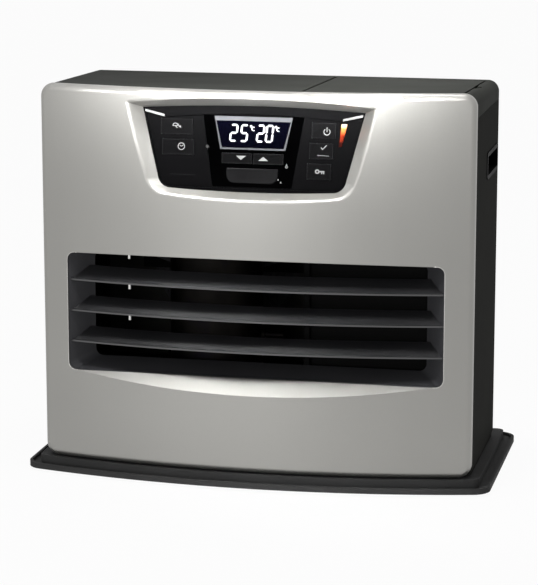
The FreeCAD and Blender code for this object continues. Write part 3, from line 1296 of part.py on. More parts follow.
def make_fuel():
    outer = box("sump_outer", ("sump_left", BAY_FRONT, PAN), (TANK_RIGHT, TANK_BACK, SUMP))
    inner = box("sump_inner",
                ("sump_left + sheet_wall", "%s + sheet_wall" % BAY_FRONT, "%s + sheet_wall" % PAN),
                ("%s - sheet_wall" % TANK_RIGHT, "%s - sheet_wall" % TANK_BACK, "%s - sheet_wall" % SUMP))
    mouth = rod("sump_mouth", "Z", (TANK_X, TANK_Y, "%s - 2" % SUMP), "4", "%s + key_gap" % RECEIVER)
    dip = rod("pump_hole", "Z", (PUMP_X, BURNER_Y, "%s - 2" % SUMP), "4", "pipe_radius + key_gap")
    keep("fuel_sump", cut("fuel_sump", outer, inner, mouth, dip))

    receiver = new_body("tank_receiver")
    tube = "(%s - pan_wall)" % RECEIVER
    collar = "(%s + receiver_height)" % SUMP
    rim = "(%s + fold)" % RECEIVER
    pin_top = "%s - key_gap" % CAP_LOW
    floor = "%s + pan_wall" % RECEIVER_LOW
    turn(receiver, [("0", RECEIVER_LOW), (RECEIVER, RECEIVER_LOW), (RECEIVER, SUMP), (rim, SUMP),
                    (rim, collar), (tube, collar), (tube, floor), ("probe_radius", floor),
                    ("probe_radius", pin_top), ("0", pin_top)])
    keep("tank_receiver", move(receiver, TANK_X, TANK_Y, "0"))
    strainer = new_body("fuel_strainer")
    low = "(%s + pan_wall)" % RECEIVER_LOW
    side = "(%s - seam_gap)" % tube
    brim = "%s + fold" % low
    mesh = "%s - bay_wall" % side
    turn(strainer, [("probe_radius + key_gap", low), (side, low), (side, brim), (mesh, brim),
                    (mesh, "%s + bay_wall" % low), ("probe_radius + key_gap", "%s + bay_wall" % low)])
    keep("fuel_strainer", move(strainer, TANK_X, TANK_Y, "0"))

    def tank_prism(name, inset, low, high):
        body = new_body(name)
        pad(body, "XY", low, high, rounded(
            "%s + (%s)" % (TANK_LEFT, inset), "%s + (%s)" % (TANK_FRONT, inset),
            "%s - (%s)" % (TANK_RIGHT, inset), "%s - (%s)" % (TANK_BACK, inset),
            "tank_corner - (%s)" % inset))
        return body

    skin = tank_prism("tank_skin", "0", TANK_FLOOR, TANK_TOP)
    void = tank_prism("tank_void", "tank_wall", "%s + tank_wall" % TANK_FLOOR, "%s - tank_wall" % TANK_TOP)
    mouth = (TANK_X, TANK_Y, "%s - neck_length" % TANK_FLOOR)
    neck = rod("tank_neck", "Z", mouth, "neck_length + tank_wall", "neck_radius")
    bore = rod("neck_bore", "Z", mouth, "neck_length + 2 * tank_wall", "neck_radius - 2 * tank_wall")
    keep("fuel_tank", cut("fuel_tank", fuse("tank_whole", cut("tank_can", skin, void), neck), bore))
    handle = new_body("tank_handle")
    half = "(handle_width / 2)"
    gap = "(handle_height - handle_thick)"
    slim = "(%s - handle_thick)" % half
    pad(handle, "XZ", "-handle_depth / 2", "handle_depth / 2", [
        ("-" + half, "0"), ("-" + slim, "0"), ("-" + slim, gap), (slim, gap), (slim, "0"), (half, "0"),
        (half, "handle_height"), ("-" + half, "handle_height")])
    keep("tank_handle", move(handle, TANK_X, TANK_Y, TANK_TOP))
    cap = new_body("tank_cap")
    cap_top = "(%s - 2 * key_gap)" % TANK_FLOOR
    turn(cap, [("0", CAP_LOW), (CAP_OUT, CAP_LOW), (CAP_OUT, cap_top), (CAP_IN, cap_top),
               (CAP_IN, "%s + cap_wall" % CAP_LOW), ("0", "%s + cap_wall" % CAP_LOW)])
    keep("tank_cap", move(cap, TANK_X, TANK_Y, "0"))

    bay = new_body("tank_bay")
    left = "(duct_right + seam_gap)"
    right = "(%s - sheet_wall - seam_gap)" % HALF
    back = "(%s - seam_gap)" % REAR
    pad(bay, "XY", SUMP, COVER_BOTTOM + " - fold / 2", [
        (left, BAY_FRONT), (right, BAY_FRONT), (right, "%s + bay_wall" % BAY_FRONT),
        ("%s + bay_wall" % left, "%s + bay_wall" % BAY_FRONT), ("%s + bay_wall" % left, back),
        (left, back)])
    keep("tank_bay", bay)

    can = rod("pump_can", "Z", (PUMP_X, BURNER_Y, SUMP), "pump_height", "pump_radius")
    tail = rod("pump_dip", "Z", (PUMP_X, BURNER_Y, "%s - sump_height / 2" % SUMP), "sump_height",
               "pipe_radius")
    keep("fuel_pump", fuse("fuel_pump", can, tail))
    pipe_start = "(pot_radius - pipe_radius * 3 - burner_x)"
    pipe_end = "(%s - pump_radius - key_gap)" % PUMP_X
    keep("fuel_pipe", rod("fuel_pipe", "X", (pipe_start, BURNER_Y, PIPE_Z),
                          "%s - %s" % (pipe_end, pipe_start), "pipe_radius"))


# electrics on the base pan
def make_electrics():
    front = "(%s + 2 * fold)" % FACE
    back = "(%s + board_thick)" % front
    pieces = [box("board_sheet", ("-main_board_x - main_board_width / 2", front, PAN),
                  ("main_board_width / 2 - main_board_x", back, "duct_floor - 2 * sheet_wall"))]
    for count in (-1, 0, 1):
        left = "(%d * block_pitch - main_board_x - block_width / 2)" % count
        low = "(%s + fold)" % PAN
        pieces.append(box("board_block", (left, back, low),
                          ("%s + block_width" % left, "%s + block_out" % back, "%s + block_height" % low)))
    keep("main_board", fuse("main_board", *pieces))
    back = "(%s - face_plate)" % BAY_FRONT
    right = "(%s - tilt_gap)" % HALF
    keep("tilt_switch", box("tilt_switch", ("%s - tilt_width" % right, "%s - tilt_depth" % back, PAN),
                            (right, back, "%s + tilt_height" % PAN)))


# build every piece, check it and write it
for make in (make_base, make_front, make_outlet, make_controls, make_top, make_sides, make_rear, make_fan,
             make_burner, make_blower, make_fuel, make_electrics):
    make()
doc.recompute()
for thing in doc.Objects:
    if "Invalid" in thing.State or "Error" in thing.State:
        raise RuntimeError("%s did not build" % thing.Label)
os.makedirs("parts", exist_ok=True)
for name, piece in nodes:
    if piece.Shape.isNull() or not piece.Shape.isValid() or not piece.Shape.Solids:
        raise RuntimeError("%s is not a sound solid" % name)
    piece.Shape.exportStep("parts/%s.step" % name)
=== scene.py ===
import math

import bmesh
import bpy
from mathutils import Matrix, Vector


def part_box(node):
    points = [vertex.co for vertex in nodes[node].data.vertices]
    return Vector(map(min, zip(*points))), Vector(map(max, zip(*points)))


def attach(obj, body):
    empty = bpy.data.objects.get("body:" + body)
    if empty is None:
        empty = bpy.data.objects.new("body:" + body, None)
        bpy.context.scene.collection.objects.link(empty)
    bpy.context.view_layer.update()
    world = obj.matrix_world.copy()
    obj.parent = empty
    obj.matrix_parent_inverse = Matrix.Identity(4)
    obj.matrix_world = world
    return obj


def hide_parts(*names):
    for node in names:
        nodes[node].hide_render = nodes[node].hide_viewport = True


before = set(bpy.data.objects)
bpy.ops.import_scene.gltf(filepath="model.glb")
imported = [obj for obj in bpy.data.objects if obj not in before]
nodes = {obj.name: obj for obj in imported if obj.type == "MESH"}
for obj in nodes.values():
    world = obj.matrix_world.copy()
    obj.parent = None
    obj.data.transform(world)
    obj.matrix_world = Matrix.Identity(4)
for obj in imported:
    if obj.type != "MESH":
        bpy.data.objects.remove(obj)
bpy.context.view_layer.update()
MM = 0.001
MERGE = 1e-7
COAT_ROUGH = 0.1


# finishes: every one reads Object coordinates, so its grain stays on the piece
class Finish:
    def __init__(self, name, metallic=0.0, coat=0.0, gloss=0.5):
        self.material = bpy.data.materials.new(name)
        self.material.use_nodes = True
        self.tree = self.material.node_tree
        self.shader = self.tree.nodes["Principled BSDF"]
        self.shader.inputs["Metallic"].default_value = metallic
        self.shader.inputs["Coat Weight"].default_value = coat
        self.shader.inputs["Coat Roughness"].default_value = COAT_ROUGH
        self.shader.inputs["Specular IOR Level"].default_value = gloss
        self.coords = self.tree.nodes.new("ShaderNodeTexCoord").outputs["Object"]

    def link(self, source, target):
        self.tree.links.new(source, target)

    def placed(self, scale, shift=(0, 0, 0)):
        mapping = self.tree.nodes.new("ShaderNodeMapping")
        mapping.inputs["Scale"].default_value = scale
        mapping.inputs["Location"].default_value = shift
        self.link(self.coords, mapping.inputs["Vector"])
        return mapping.outputs["Vector"]

    def noise(self, scale, detail=3.0, vector=None):
        noise = self.tree.nodes.new("ShaderNodeTexNoise")
        noise.inputs["Scale"].default_value = scale
        noise.inputs["Detail"].default_value = detail
        self.link(vector or self.coords, noise.inputs["Vector"])
        return noise.outputs["Fac"]

    def wave(self, scale, direction):
        wave = self.tree.nodes.new("ShaderNodeTexWave")
        wave.bands_direction = direction
        wave.inputs["Scale"].default_value = scale
        self.link(self.coords, wave.inputs["Vector"])
        return wave.outputs["Fac"]

    def cells(self, scale):
        cells = self.tree.nodes.new("ShaderNodeTexVoronoi")
        cells.inputs["Scale"].default_value = scale
        self.link(self.coords, cells.inputs["Vector"])
        return cells.outputs["Distance"]

    def blend_values(self, first, second, share):
        mix = self.tree.nodes.new("ShaderNodeMix")
        mix.data_type = "FLOAT"
        mix.inputs["Factor"].default_value = share
        self.link(first, mix.inputs["A"])
        self.link(second, mix.inputs["B"])
        return mix.outputs["Result"]

    def ramp(self, value, *stops):
        ramp = self.tree.nodes.new("ShaderNodeValToRGB")
        elements = ramp.color_ramp.elements
        while len(elements) < len(stops):
            elements.new(0.5)
        for element, (place, colour) in zip(elements, stops):
            element.position = place
            element.color = (*colour, 1.0)
        self.link(value, ramp.inputs["Fac"])
        return ramp.outputs["Color"]

    def spread(self, value, low, high, begin=0.3, end=0.7):
        spread = self.tree.nodes.new("ShaderNodeMapRange")
        spread.inputs["From Min"].default_value = begin
        spread.inputs["From Max"].default_value = end
        spread.inputs["To Min"].default_value = low
        spread.inputs["To Max"].default_value = high
        self.link(value, spread.inputs["Value"])
        return spread.outputs["Result"]

    def colour(self, value, *stops):
        self.link(self.ramp(value, *stops), self.shader.inputs["Base Color"])

    def rough(self, value, low, high):
        self.link(self.spread(value, low, high), self.shader.inputs["Roughness"])

    def bump(self, height, strength, depth):
        bump = self.tree.nodes.new("ShaderNodeBump")
        bump.inputs["Strength"].default_value = strength
        bump.inputs["Distance"].default_value = depth
        self.link(height, bump.inputs["Height"])
        self.link(bump.outputs["Normal"], self.shader.inputs["Normal"])

    def glow(self, strength, colour=None):
        self.shader.inputs["Emission Strength"].default_value = strength
        if colour is not None:
            self.shader.inputs["Emission Color"].default_value = (*colour, 1.0)


def grey(level):
    return (level, level, level)


def shade(tint, factor):
    return tuple(min(1.0, part * factor) for part in tint)


def moulded_plastic(name, tint, rough=0.5, grain=1500.0, depth=0.00008, gloss=0.1):
    finish = Finish(name, gloss=gloss)
    fine = finish.noise(grain, 2.0)
    broad = finish.noise(14.0, 4.0)
    mixed = finish.blend_values(broad, fine, 0.45)
    finish.colour(mixed, (0.25, shade(tint, 0.82)), (0.75, shade(tint, 1.2)))
    finish.rough(mixed, rough - 0.06, rough + 0.08)
    finish.bump(fine, 0.35, depth)
    return finish.material


def baked_enamel(name, tint, rough=0.4, gloss=0.1):
    finish = Finish(name, gloss=gloss)
    skin = finish.noise(260.0, 2.0)
    dust = finish.noise(9.0, 5.0)
    finish.colour(dust, (0.3, shade(tint, 0.85)), (0.7, shade(tint, 1.18)))
    finish.rough(dust, rough - 0.05, rough + 0.07)
    finish.bump(skin, 0.18, 0.00012)
    return finish.material


def silver_lacquer():
    finish = Finish("silver lacquer", metallic=0.85)
    flake = finish.noise(2600.0, 1.0)
    cloud = finish.noise(5.0, 3.0)
    mixed = finish.blend_values(cloud, flake, 0.5)
    finish.colour(mixed, (0.2, (0.270, 0.266, 0.252)), (0.8, (0.330, 0.325, 0.308)))
    finish.rough(flake, 0.36, 0.44)
    finish.bump(flake, 0.05, 0.00003)
    return finish.material


def drawn_steel(name, tint, rough=0.34, along="X"):
    finish = Finish(name, metallic=1.0)
    stretch = {"X": (20, 900, 900), "Y": (900, 20, 900), "Z": (900, 900, 20)}[along]
    lines = finish.noise(1.0, 3.0, finish.placed(stretch))
    stain = finish.noise(18.0, 5.0)
    finish.colour(finish.blend_values(lines, stain, 0.5),
                  (0.3, shade(tint, 0.8)), (0.7, shade(tint, 1.12)))
    finish.rough(lines, rough - 0.07, rough + 0.1)
    finish.bump(lines, 0.12, 0.00004)
    return finish.material


def zinc_plating(name, tint):
    finish = Finish(name, metallic=1.0)
    spangle = finish.cells(120.0)
    cloud = finish.noise(40.0, 4.0)
    finish.colour(finish.blend_values(spangle, cloud, 0.4),
                  (0.1, shade(tint, 0.8)), (0.7, shade(tint, 1.1)))
    finish.rough(cloud, 0.34, 0.5)
    finish.bump(spangle, 0.06, 0.00005)
    return finish.material


# burner steel: the scorch patches are the steel's own; its near-black level is painted shade for
# the burner seen through the outlet
def scorched_shaded_steel():
    finish = Finish("scorched burner steel with painted shade", metallic=1.0)
    heat = finish.noise(22.0, 6.0)
    finish.colour(heat, (0.25, (0.004, 0.004, 0.004)), (0.5, (0.011, 0.010, 0.009)),
                  (0.62, (0.008, 0.007, 0.010)), (0.8, (0.017, 0.015, 0.014)))
    finish.rough(heat, 0.5, 0.68)
    finish.bump(finish.noise(600.0, 2.0), 0.1, 0.00006)
    return finish.material


def polished(name, tint, rough, gloss):
    finish = Finish(name, gloss=gloss)
    smear = finish.noise(30.0, 4.0)
    finish.colour(smear, (0.3, shade(tint, 0.85)), (0.7, shade(tint, 1.2)))
    finish.rough(smear, rough, rough + 0.06)
    finish.bump(finish.noise(90.0, 1.0), 0.02, 0.00002)
    return finish.material


def printed_ink(name, tint, glow=0.0):
    finish = Finish(name, gloss=0.1)
    speck = finish.noise(4000.0, 2.0)
    finish.colour(speck, (0.3, shade(tint, 0.9)), (0.7, tint))
    finish.rough(speck, 0.5, 0.62)
    if glow:
        finish.glow(glow, tint)
    return finish.material


def soft_rubber():
    finish = Finish("soft rubber")
    pores = finish.noise(900.0, 3.0)
    finish.colour(pores, (0.3, grey(0.012)), (0.7, grey(0.024)))
    finish.rough(pores, 0.66, 0.82)
    finish.bump(pores, 0.3, 0.0001)
    return finish.material


def woven_fibre():
    finish = Finish("woven fibre gasket")
    weave = finish.blend_values(finish.wave(160.0, "X"), finish.wave(160.0, "Y"), 0.5)
    finish.colour(weave, (0.2, (0.52, 0.49, 0.43)), (0.8, (0.78, 0.75, 0.68)))
    finish.rough(weave, 0.8, 0.92)
    finish.bump(weave, 0.5, 0.0002)
    return finish.material


def lacquered_board():
    finish = Finish("lacquered circuit board", coat=0.3)
    tracks = finish.wave(90.0, "X")
    finish.colour(tracks, (0.45, (0.012, 0.085, 0.035)), (0.55, (0.02, 0.13, 0.055)))
    finish.rough(finish.noise(50.0), 0.35, 0.5)
    finish.bump(tracks, 0.1, 0.00005)
    return finish.material


def lamp_glow():
    low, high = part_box("burner_lamp")
    finish = Finish("burner lamp glow", gloss=0.05)
    split = finish.tree.nodes.new("ShaderNodeSeparateXYZ")
    rise = 1.0 / (high.z - low.z)
    finish.link(finish.placed((1, 1, rise), (0, 0, -low.z * rise)), split.inputs["Vector"])
    flicker = finish.noise(260.0, 3.0)
    height = finish.blend_values(split.outputs["Z"], flicker, 0.16)
    flame = finish.ramp(height, (0.22, (0.02, 0.002, 0.001)), (0.52, (0.20, 0.018, 0.005)),
                        (0.76, (0.75, 0.16, 0.04)), (0.90, (0.95, 0.50, 0.28)),
                        (0.96, (1.0, 0.95, 0.9)))
    finish.link(flame, finish.shader.inputs["Base Color"])
    finish.link(flame, finish.shader.inputs["Emission Color"])
    finish.rough(flicker, 0.18, 0.3)
    finish.glow(0.35)
    return finish.material


def dress(material, *names):
    for name in names:
        node = nodes[name]
        node.data.materials.clear()
        node.data.materials.append(material)


# case
dress(silver_lacquer(), "front_panel")
dress(moulded_plastic("black tray moulding", grey(0.060), 0.5, gloss=0.006), "base_tray")
dress(moulded_plastic("dark grey top moulding", (0.025, 0.026, 0.023), 0.5, 1100.0, gloss=0.005),
      "top_cover", "tank_lid")
dress(baked_enamel("dark case enamel", (0.034, 0.034, 0.032), 0.5, gloss=0.0004),
      "side_panel_left", "side_panel_right", "rear_panel", "base_pan")
dress(soft_rubber(), "rubber_feet", "cord_gland")
dress(zinc_plating("zinc plated screw", grey(0.5)), "rear_screws")

# air outlet
dress(baked_enamel("charcoal surround enamel", (0.048, 0.048, 0.052), 0.40, gloss=0.2),
      "louvre_frame")
dress(baked_enamel("charcoal blade enamel", (0.013, 0.013, 0.0145), 0.36, gloss=1.0),
      "louvre_blade_low", "louvre_blade_mid", "louvre_blade_top")
dress(drawn_steel("bright stay steel", (0.62, 0.62, 0.60), 0.3, "Z"), "louvre_stays")

# control face
dress(moulded_plastic("black bezel moulding", (0.0023, 0.0023, 0.0025), 0.44, 1800.0, gloss=0.012),
      "control_bezel", "hand_grip_left", "hand_grip_right")
dress(polished("black display window", (0.0002, 0.0002, 0.00025), 0.12, 0.002), "display_window")
dress(moulded_plastic("silver display frame", (0.070, 0.072, 0.078), 0.42, 2200.0, 0.00003),
      "lcd_frame")
dress(polished("dark blue display cell", (0.0006, 0.0006, 0.0022), 0.10, 0.004), "lcd_cell")
dress(polished("smoked lens", (0.0032, 0.0032, 0.0035), 0.10, 0.06), "indicator_lens")
dress(lamp_glow(), "burner_lamp")
# corner strips: their pale grey is a painted highlight, standing for light caught on the slanted
# ends of the ledge
dress(polished("corner strip painted highlight", grey(0.17), 0.3, 0.3), "corner_strips")
dress(moulded_plastic("black key cap", (0.0025, 0.0025, 0.0027), 0.40, 2400.0, 0.00004, 0.02),
      "key_save", "key_timer", "key_down", "key_up", "key_power", "key_extend", "key_lock")

# inside and back
dress(zinc_plating("zinc plated sheet", (0.58, 0.58, 0.57)), "fuel_sump")
# inner sheets: near-black heat paint, kept darker still as painted shade for the inside seen
# through the outlet
dress(baked_enamel("heat black sheet with painted shade", grey(0.004), 0.6, gloss=0.03),
      "air_duct", "tank_bay", "fan_bracket")
dress(moulded_plastic("dark fan moulding", (0.035, 0.035, 0.038), 0.5),
      "fan_guard", "fan_rotor", "fan_filter", "filter_rails", "blower_housing", "blower_impeller",
      "tank_receiver", "tank_handle")
dress(drawn_steel("turned motor steel", (0.45, 0.45, 0.46), 0.36, "Y"),
      "fan_motor", "blower_motor", "fuel_pump")
dress(lacquered_board(), "control_board", "main_board")
dress(scorched_shaded_steel(), "burner_pot", "combustion_chamber", "igniter", "flame_sensor")
dress(woven_fibre(), "burner_gasket")
dress(drawn_steel("bare pipe brass", (0.70, 0.50, 0.22), 0.3), "fuel_pipe")
dress(drawn_steel("plated tank steel", (0.52, 0.53, 0.53), 0.34, "Z"), "fuel_tank")
dress(moulded_plastic("red tank cap moulding", (0.48, 0.05, 0.035), 0.42), "tank_cap")
dress(moulded_plastic("white strainer moulding", (0.72, 0.72, 0.70), 0.5), "fuel_strainer")
dress(moulded_plastic("grey switch moulding", (0.09, 0.09, 0.10), 0.5),
      "tilt_switch", "overheat_switch")


# making a piece
def finished(name, mesh, material, body):
    bmesh.ops.remove_doubles(mesh, verts=mesh.verts, dist=MERGE)
    bmesh.ops.recalc_face_normals(mesh, faces=mesh.faces)
    data = bpy.data.meshes.new(name)
    mesh.to_mesh(data)
    mesh.free()
    data.materials.append(material)
    piece = bpy.data.objects.new(name, data)
    bpy.context.scene.collection.objects.link(piece)
    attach(piece, body)
    return piece


def verts_of(result):
    return [part for part in result["geom"] if isinstance(part, bmesh.types.BMVert)]


def rounded(mesh, parts, affect, size, segments):
    bmesh.ops.bevel(mesh, geom=parts, affect=affect, offset=size, segments=segments, profile=0.5,
                    material=-1)


# control face: places on it are millimetres right and up, depths are behind the bezel's edge
TILT = math.radians(8)
CONTROL = Matrix.Translation((0, -0.110, 0.3123)) @ Matrix.Rotation(-TILT, 4, "X")
KEY_FRONT = 2.2
FACE_FRONT = 3.0
PRINT_RISE = 0.06
PRINT_THICK = 0.1
RING_STEP = 12
RING_STEPS_LEAST = 6
FULL_TURN = 360.0
PRINT = printed_ink("pale key print", grey(0.22))
LINE = printed_ink("grey key outline", (0.0075, 0.0075, 0.0080))
DOT = printed_ink("grey receiver dot", grey(0.035))
LIT = printed_ink("lit display segment", (0.55, 0.56, 0.58), 0.9)


def on_control(mesh, depth):
    bmesh.ops.transform(mesh, matrix=CONTROL @ Matrix.Translation((0, depth * MM, 0)),
                        verts=mesh.verts)


def plate(mesh, points, thick=PRINT_THICK):
    corners = [mesh.verts.new((x * MM, 0, z * MM)) for x, z in points]
    face = mesh.faces.new(corners)
    raised = bmesh.ops.extrude_face_region(mesh, geom=[face])
    bmesh.ops.translate(mesh, verts=verts_of(raised), vec=(0, thick * MM, 0))


def ring(mesh, x, z, radius, width, start=0.0, sweep=FULL_TURN, thick=PRINT_THICK):
    begin = math.radians(start)
    across = Vector((math.cos(begin), 0, math.sin(begin)))
    middle = Vector((x * MM, 0, z * MM))
    inner = mesh.verts.new(middle + across * (radius - width) * MM)
    outer = mesh.verts.new(middle + across * radius * MM)
    back_inner = mesh.verts.new(inner.co + Vector((0, thick * MM, 0)))
    back_outer = mesh.verts.new(outer.co + Vector((0, thick * MM, 0)))
    loop = mesh.faces.new((inner, outer, back_outer, back_inner))
    full = sweep >= FULL_TURN
    steps = max(RING_STEPS_LEAST, int(sweep / RING_STEP))
    bmesh.ops.spin(mesh, geom=[loop, *loop.edges, *loop.verts], cent=middle, axis=(0, -1, 0),
                   angle=math.radians(sweep), steps=steps, use_merge=full)
    if full:
        bmesh.ops.delete(mesh, geom=[loop], context="FACES_ONLY")


def bar(mesh, x0, z0, x1, z1, width):
    along = Vector((x1 - x0, 0, z1 - z0)).normalized()
    side = Vector((-along.z, 0, along.x)) * width / 2
    plate(mesh, [(x0 - side.x, z0 - side.z), (x1 - side.x, z1 - side.z),
                 (x1 + side.x, z1 + side.z), (x0 + side.x, z0 + side.z)])


def key_print(name, body, draw, depth=KEY_FRONT, material=PRINT):
    mesh = bmesh.new()
    draw(mesh)
    on_control(mesh, depth - PRINT_RISE)
    finished(name, mesh, material, body)


# display: two leaning numbers of seven segments, each with a degree sign
DIGITS = ((-24.4, "abged"), (-13.4, "afgcd"), (3.8, "abged"), (13.2, "abcdef"))
DIGIT_LOW, DIGIT_HIGH, DIGIT_WIDE = 52.8, 16.4, 6.4
DIGIT_STROKE = 1.9
DIGIT_LEAN = 1.5
SEGMENT_GAP = 0.28
SEGMENT_THICK = 0.05
DEGREE_PLACES = (-2.4, 23.8)
DEGREE_UP = 68.2
DEGREE_STEP = 2.6


def digit(mesh, segments, left):
    low, top = DIGIT_LOW, DIGIT_LOW + DIGIT_HIGH
    middle = low + DIGIT_HIGH / 2
    right = left + DIGIT_WIDE

    def leaning(x, z):
        return Vector((x + DIGIT_LEAN * (z - low) / DIGIT_HIGH, z))

    lines = {
        "a": (left, top, right, top), "b": (right, top, right, middle),
        "c": (right, middle, right, low), "d": (left, low, right, low),
        "e": (left, middle, left, low), "f": (left, top, left, middle),
        "g": (left, middle, right, middle),
    }
    for segment in segments:
        x0, z0, x1, z1 = lines[segment]
        first, last = leaning(x0, z0), leaning(x1, z1)
        along = (last - first).normalized()
        side = Vector((-along.y, along.x)) * DIGIT_STROKE / 2
        tip = along * DIGIT_STROKE / 2
        start = first + along * SEGMENT_GAP
        end = last - along * SEGMENT_GAP
        plate(mesh, [start, start + tip - side, end - tip - side,
                     end, end - tip + side, start + tip + side], SEGMENT_THICK)


def display_digits(mesh):
    for left, segments in DIGITS:
        digit(mesh, segments, left)
    for left in DEGREE_PLACES:
        ring(mesh, left, DEGREE_UP, 1.1, 0.5, thick=SEGMENT_THICK)
        ring(mesh, left + DEGREE_STEP, DEGREE_UP - DEGREE_STEP, 2.1, 0.7, 60, 240,
             thick=SEGMENT_THICK)


key_print("display_digits", "housing", display_digits, FACE_FRONT, LIT)

# key outlines: left, low, right and top of each cap, with the line just inside its edge
KEY_RECTS = {
    "key_save": (-98, 58, -64, 74),
    "key_timer": (-96, 37, -62, 53),
    "key_down": (-32.5, 29.5, -0.8, 40.5),
    "key_up": (0.8, 29.5, 32.5, 40.5),
    "key_power": (61.5, 58, 86.5, 74),
    "key_extend": (59.5, 37, 84.5, 53),
    "key_lock": (57.5, 16, 82.5, 32),
}
OUTLINE_INSET = 0.5
OUTLINE_WIDTH = 0.35


def outline(rect):
    x0, z0 = rect[0] + OUTLINE_INSET, rect[1] + OUTLINE_INSET
    x1, z1 = rect[2] - OUTLINE_INSET, rect[3] - OUTLINE_INSET

    def draw(mesh):
        for line in ((x0, z0, x1, z0), (x1, z0, x1, z1), (x1, z1, x0, z1), (x0, z1, x0, z0)):
            bar(mesh, *line, OUTLINE_WIDTH)
    return draw


for key, rect in KEY_RECTS.items():
    key_print(key + "_outline", key + "_button", outline(rect), material=LINE)


# signs: each is drawn from the place of its middle or its point
ARROW_HALF, ARROW_HIGH = 5.2, 4.2


def power_sign(mesh):
    x, z = 77.3, 64.8
    ring(mesh, x, z, 3.6, 0.75, 125, 290)
    bar(mesh, x, z - 0.2, x, z + 4.6, 0.8)


def clock_sign(mesh):
    x, z = -75.6, 45.5
    ring(mesh, x, z, 3.8, 0.7)
    bar(mesh, x, z, x + 2.2, z + 1.4, 0.6)
    bar(mesh, x, z, x - 1.8, z + 1.2, 0.6)


def save_sign(mesh):
    x, z = -82.6, 66.6
    ring(mesh, x, z, 3.0, 0.7, 0, 180)
    bar(mesh, x - 3.0, z, x + 3.0, z, 0.6)
    bar(mesh, x, z, x + 2.2, z - 2.2, 0.7)
    bar(mesh, x + 2.2, z + 2.3, x + 5.0, z - 1.2, 0.8)
    plate(mesh, [(x + 3.7, z - 1.0), (x + 6.0, z - 2.0), (x + 5.7, z + 0.5)])


def tick_sign(mesh):
    x, z = 73.4, 46.6
    bar(mesh, x - 1.8, z + 2.0, x, z, 0.9)
    bar(mesh, x - 0.2, z + 0.1, x + 4.0, z + 4.4, 0.9)
    bar(mesh, x - 5.6, z - 6.0, x + 6.8, z - 6.4, 0.5)


def lock_sign(mesh):
    x, z = 68.4, 24.0
    ring(mesh, x, z, 2.3, 1.2)
    bar(mesh, x + 2.0, z, x + 7.4, z, 1.4)
    for tooth in (x + 4.8, x + 6.8):
        bar(mesh, tooth, z, tooth, z - 2.4, 1.1)


def down_sign(mesh):
    x, z = -12.1, 33.4
    plate(mesh, [(x, z), (x + ARROW_HALF, z + ARROW_HIGH), (x - ARROW_HALF, z + ARROW_HIGH)])


def up_sign(mesh):
    x, z = 11.5, 37.2
    plate(mesh, [(x - ARROW_HALF, z - ARROW_HIGH), (x + ARROW_HALF, z - ARROW_HIGH), (x, z)])


def notice_signs(mesh):
    x, z = 36.0, 27.6
    ring(mesh, x, z, 1.5, 1.0)
    plate(mesh, [(x - 1.3, z + 0.6), (x + 1.3, z + 0.6), (x, z + 3.6)])
    for x, z, half, high in ((27.5, 13.4, 0.9, 1.8), (30.4, 10.6, 1.0, 2.4)):
        plate(mesh, [(x - half, z), (x + half, z), (x, z + high)])


def receiver_dot(mesh):
    ring(mesh, -48.2, 46.2, 1.7, 1.6)


def rest_line(mesh):
    bar(mesh, -87, 16.6, -60, 16.4, 0.4)


key_print("power_sign", "key_power_button", power_sign)
key_print("clock_sign", "key_timer_button", clock_sign)
key_print("save_sign", "key_save_button", save_sign)
key_print("tick_sign", "key_extend_button", tick_sign)
key_print("lock_sign", "key_lock_button", lock_sign)
key_print("down_sign", "key_down_button", down_sign)
key_print("up_sign", "key_up_button", up_sign)
key_print("notice_signs", "housing", notice_signs, FACE_FRONT)
key_print("receiver_dot", "housing", receiver_dot, FACE_FRONT, DOT)
key_print("rest_line", "housing", rest_line, FACE_FRONT, LINE)


# front panel: a merged copy of the solid, with shading that runs evenly round its soft edges
CREASE = math.radians(18)


def silver_front():
    mesh = bmesh.new()
    mesh.from_mesh(nodes["front_panel"].data)
    front = finished("silver_front", mesh, nodes["front_panel"].data.materials[0], "housing")
    front.data.shade_smooth()
    front.data.set_sharp_from_angle(angle=CREASE)
    even = front.modifiers.new("even shading", "WEIGHTED_NORMAL")
    even.keep_sharp = True
    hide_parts("front_panel")


silver_front()


# indicator lens: a plate with round lower corners and a soft front edge
LENS_HALF, LENS_LOW, LENS_TOP = 27.5 * MM, 9 * MM, 25 * MM
LENS_THICK = 4.4
LENS_FRONT = 1.8
LENS_LOW_ROUND = 9 * MM
LENS_TOP_ROUND = 1.5 * MM
LENS_EDGE_ROUND = 1.1 * MM
LENS_SLACK = 0.1 * MM


def indicator_lens():
    mesh = bmesh.new()
    places = ((-LENS_HALF, LENS_LOW), (LENS_HALF, LENS_LOW),
              (LENS_HALF, LENS_TOP), (-LENS_HALF, LENS_TOP))
    corners = [mesh.verts.new((x, 0, z)) for x, z in places]
    mesh.faces.new(corners)
    rounded(mesh, corners[:2], "VERTICES", LENS_LOW_ROUND, 10)
    top = [vert for vert in mesh.verts if vert.co.z > LENS_TOP - LENS_SLACK]
    rounded(mesh, top, "VERTICES", LENS_TOP_ROUND, 4)
    raised = bmesh.ops.extrude_face_region(mesh, geom=list(mesh.faces))
    bmesh.ops.translate(mesh, verts=verts_of(raised), vec=(0, -LENS_THICK * MM, 0))
    front = LENS_SLACK - LENS_THICK * MM
    rim = [edge for edge in mesh.edges if all(vert.co.y < front for vert in edge.verts)]
    rounded(mesh, rim, "EDGES", LENS_EDGE_ROUND, 5)
    on_control(mesh, LENS_FRONT + LENS_THICK)
    lens = finished("domed_lens", mesh, nodes["indicator_lens"].data.materials[0], "housing")
    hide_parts("indicator_lens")


indicator_lens()


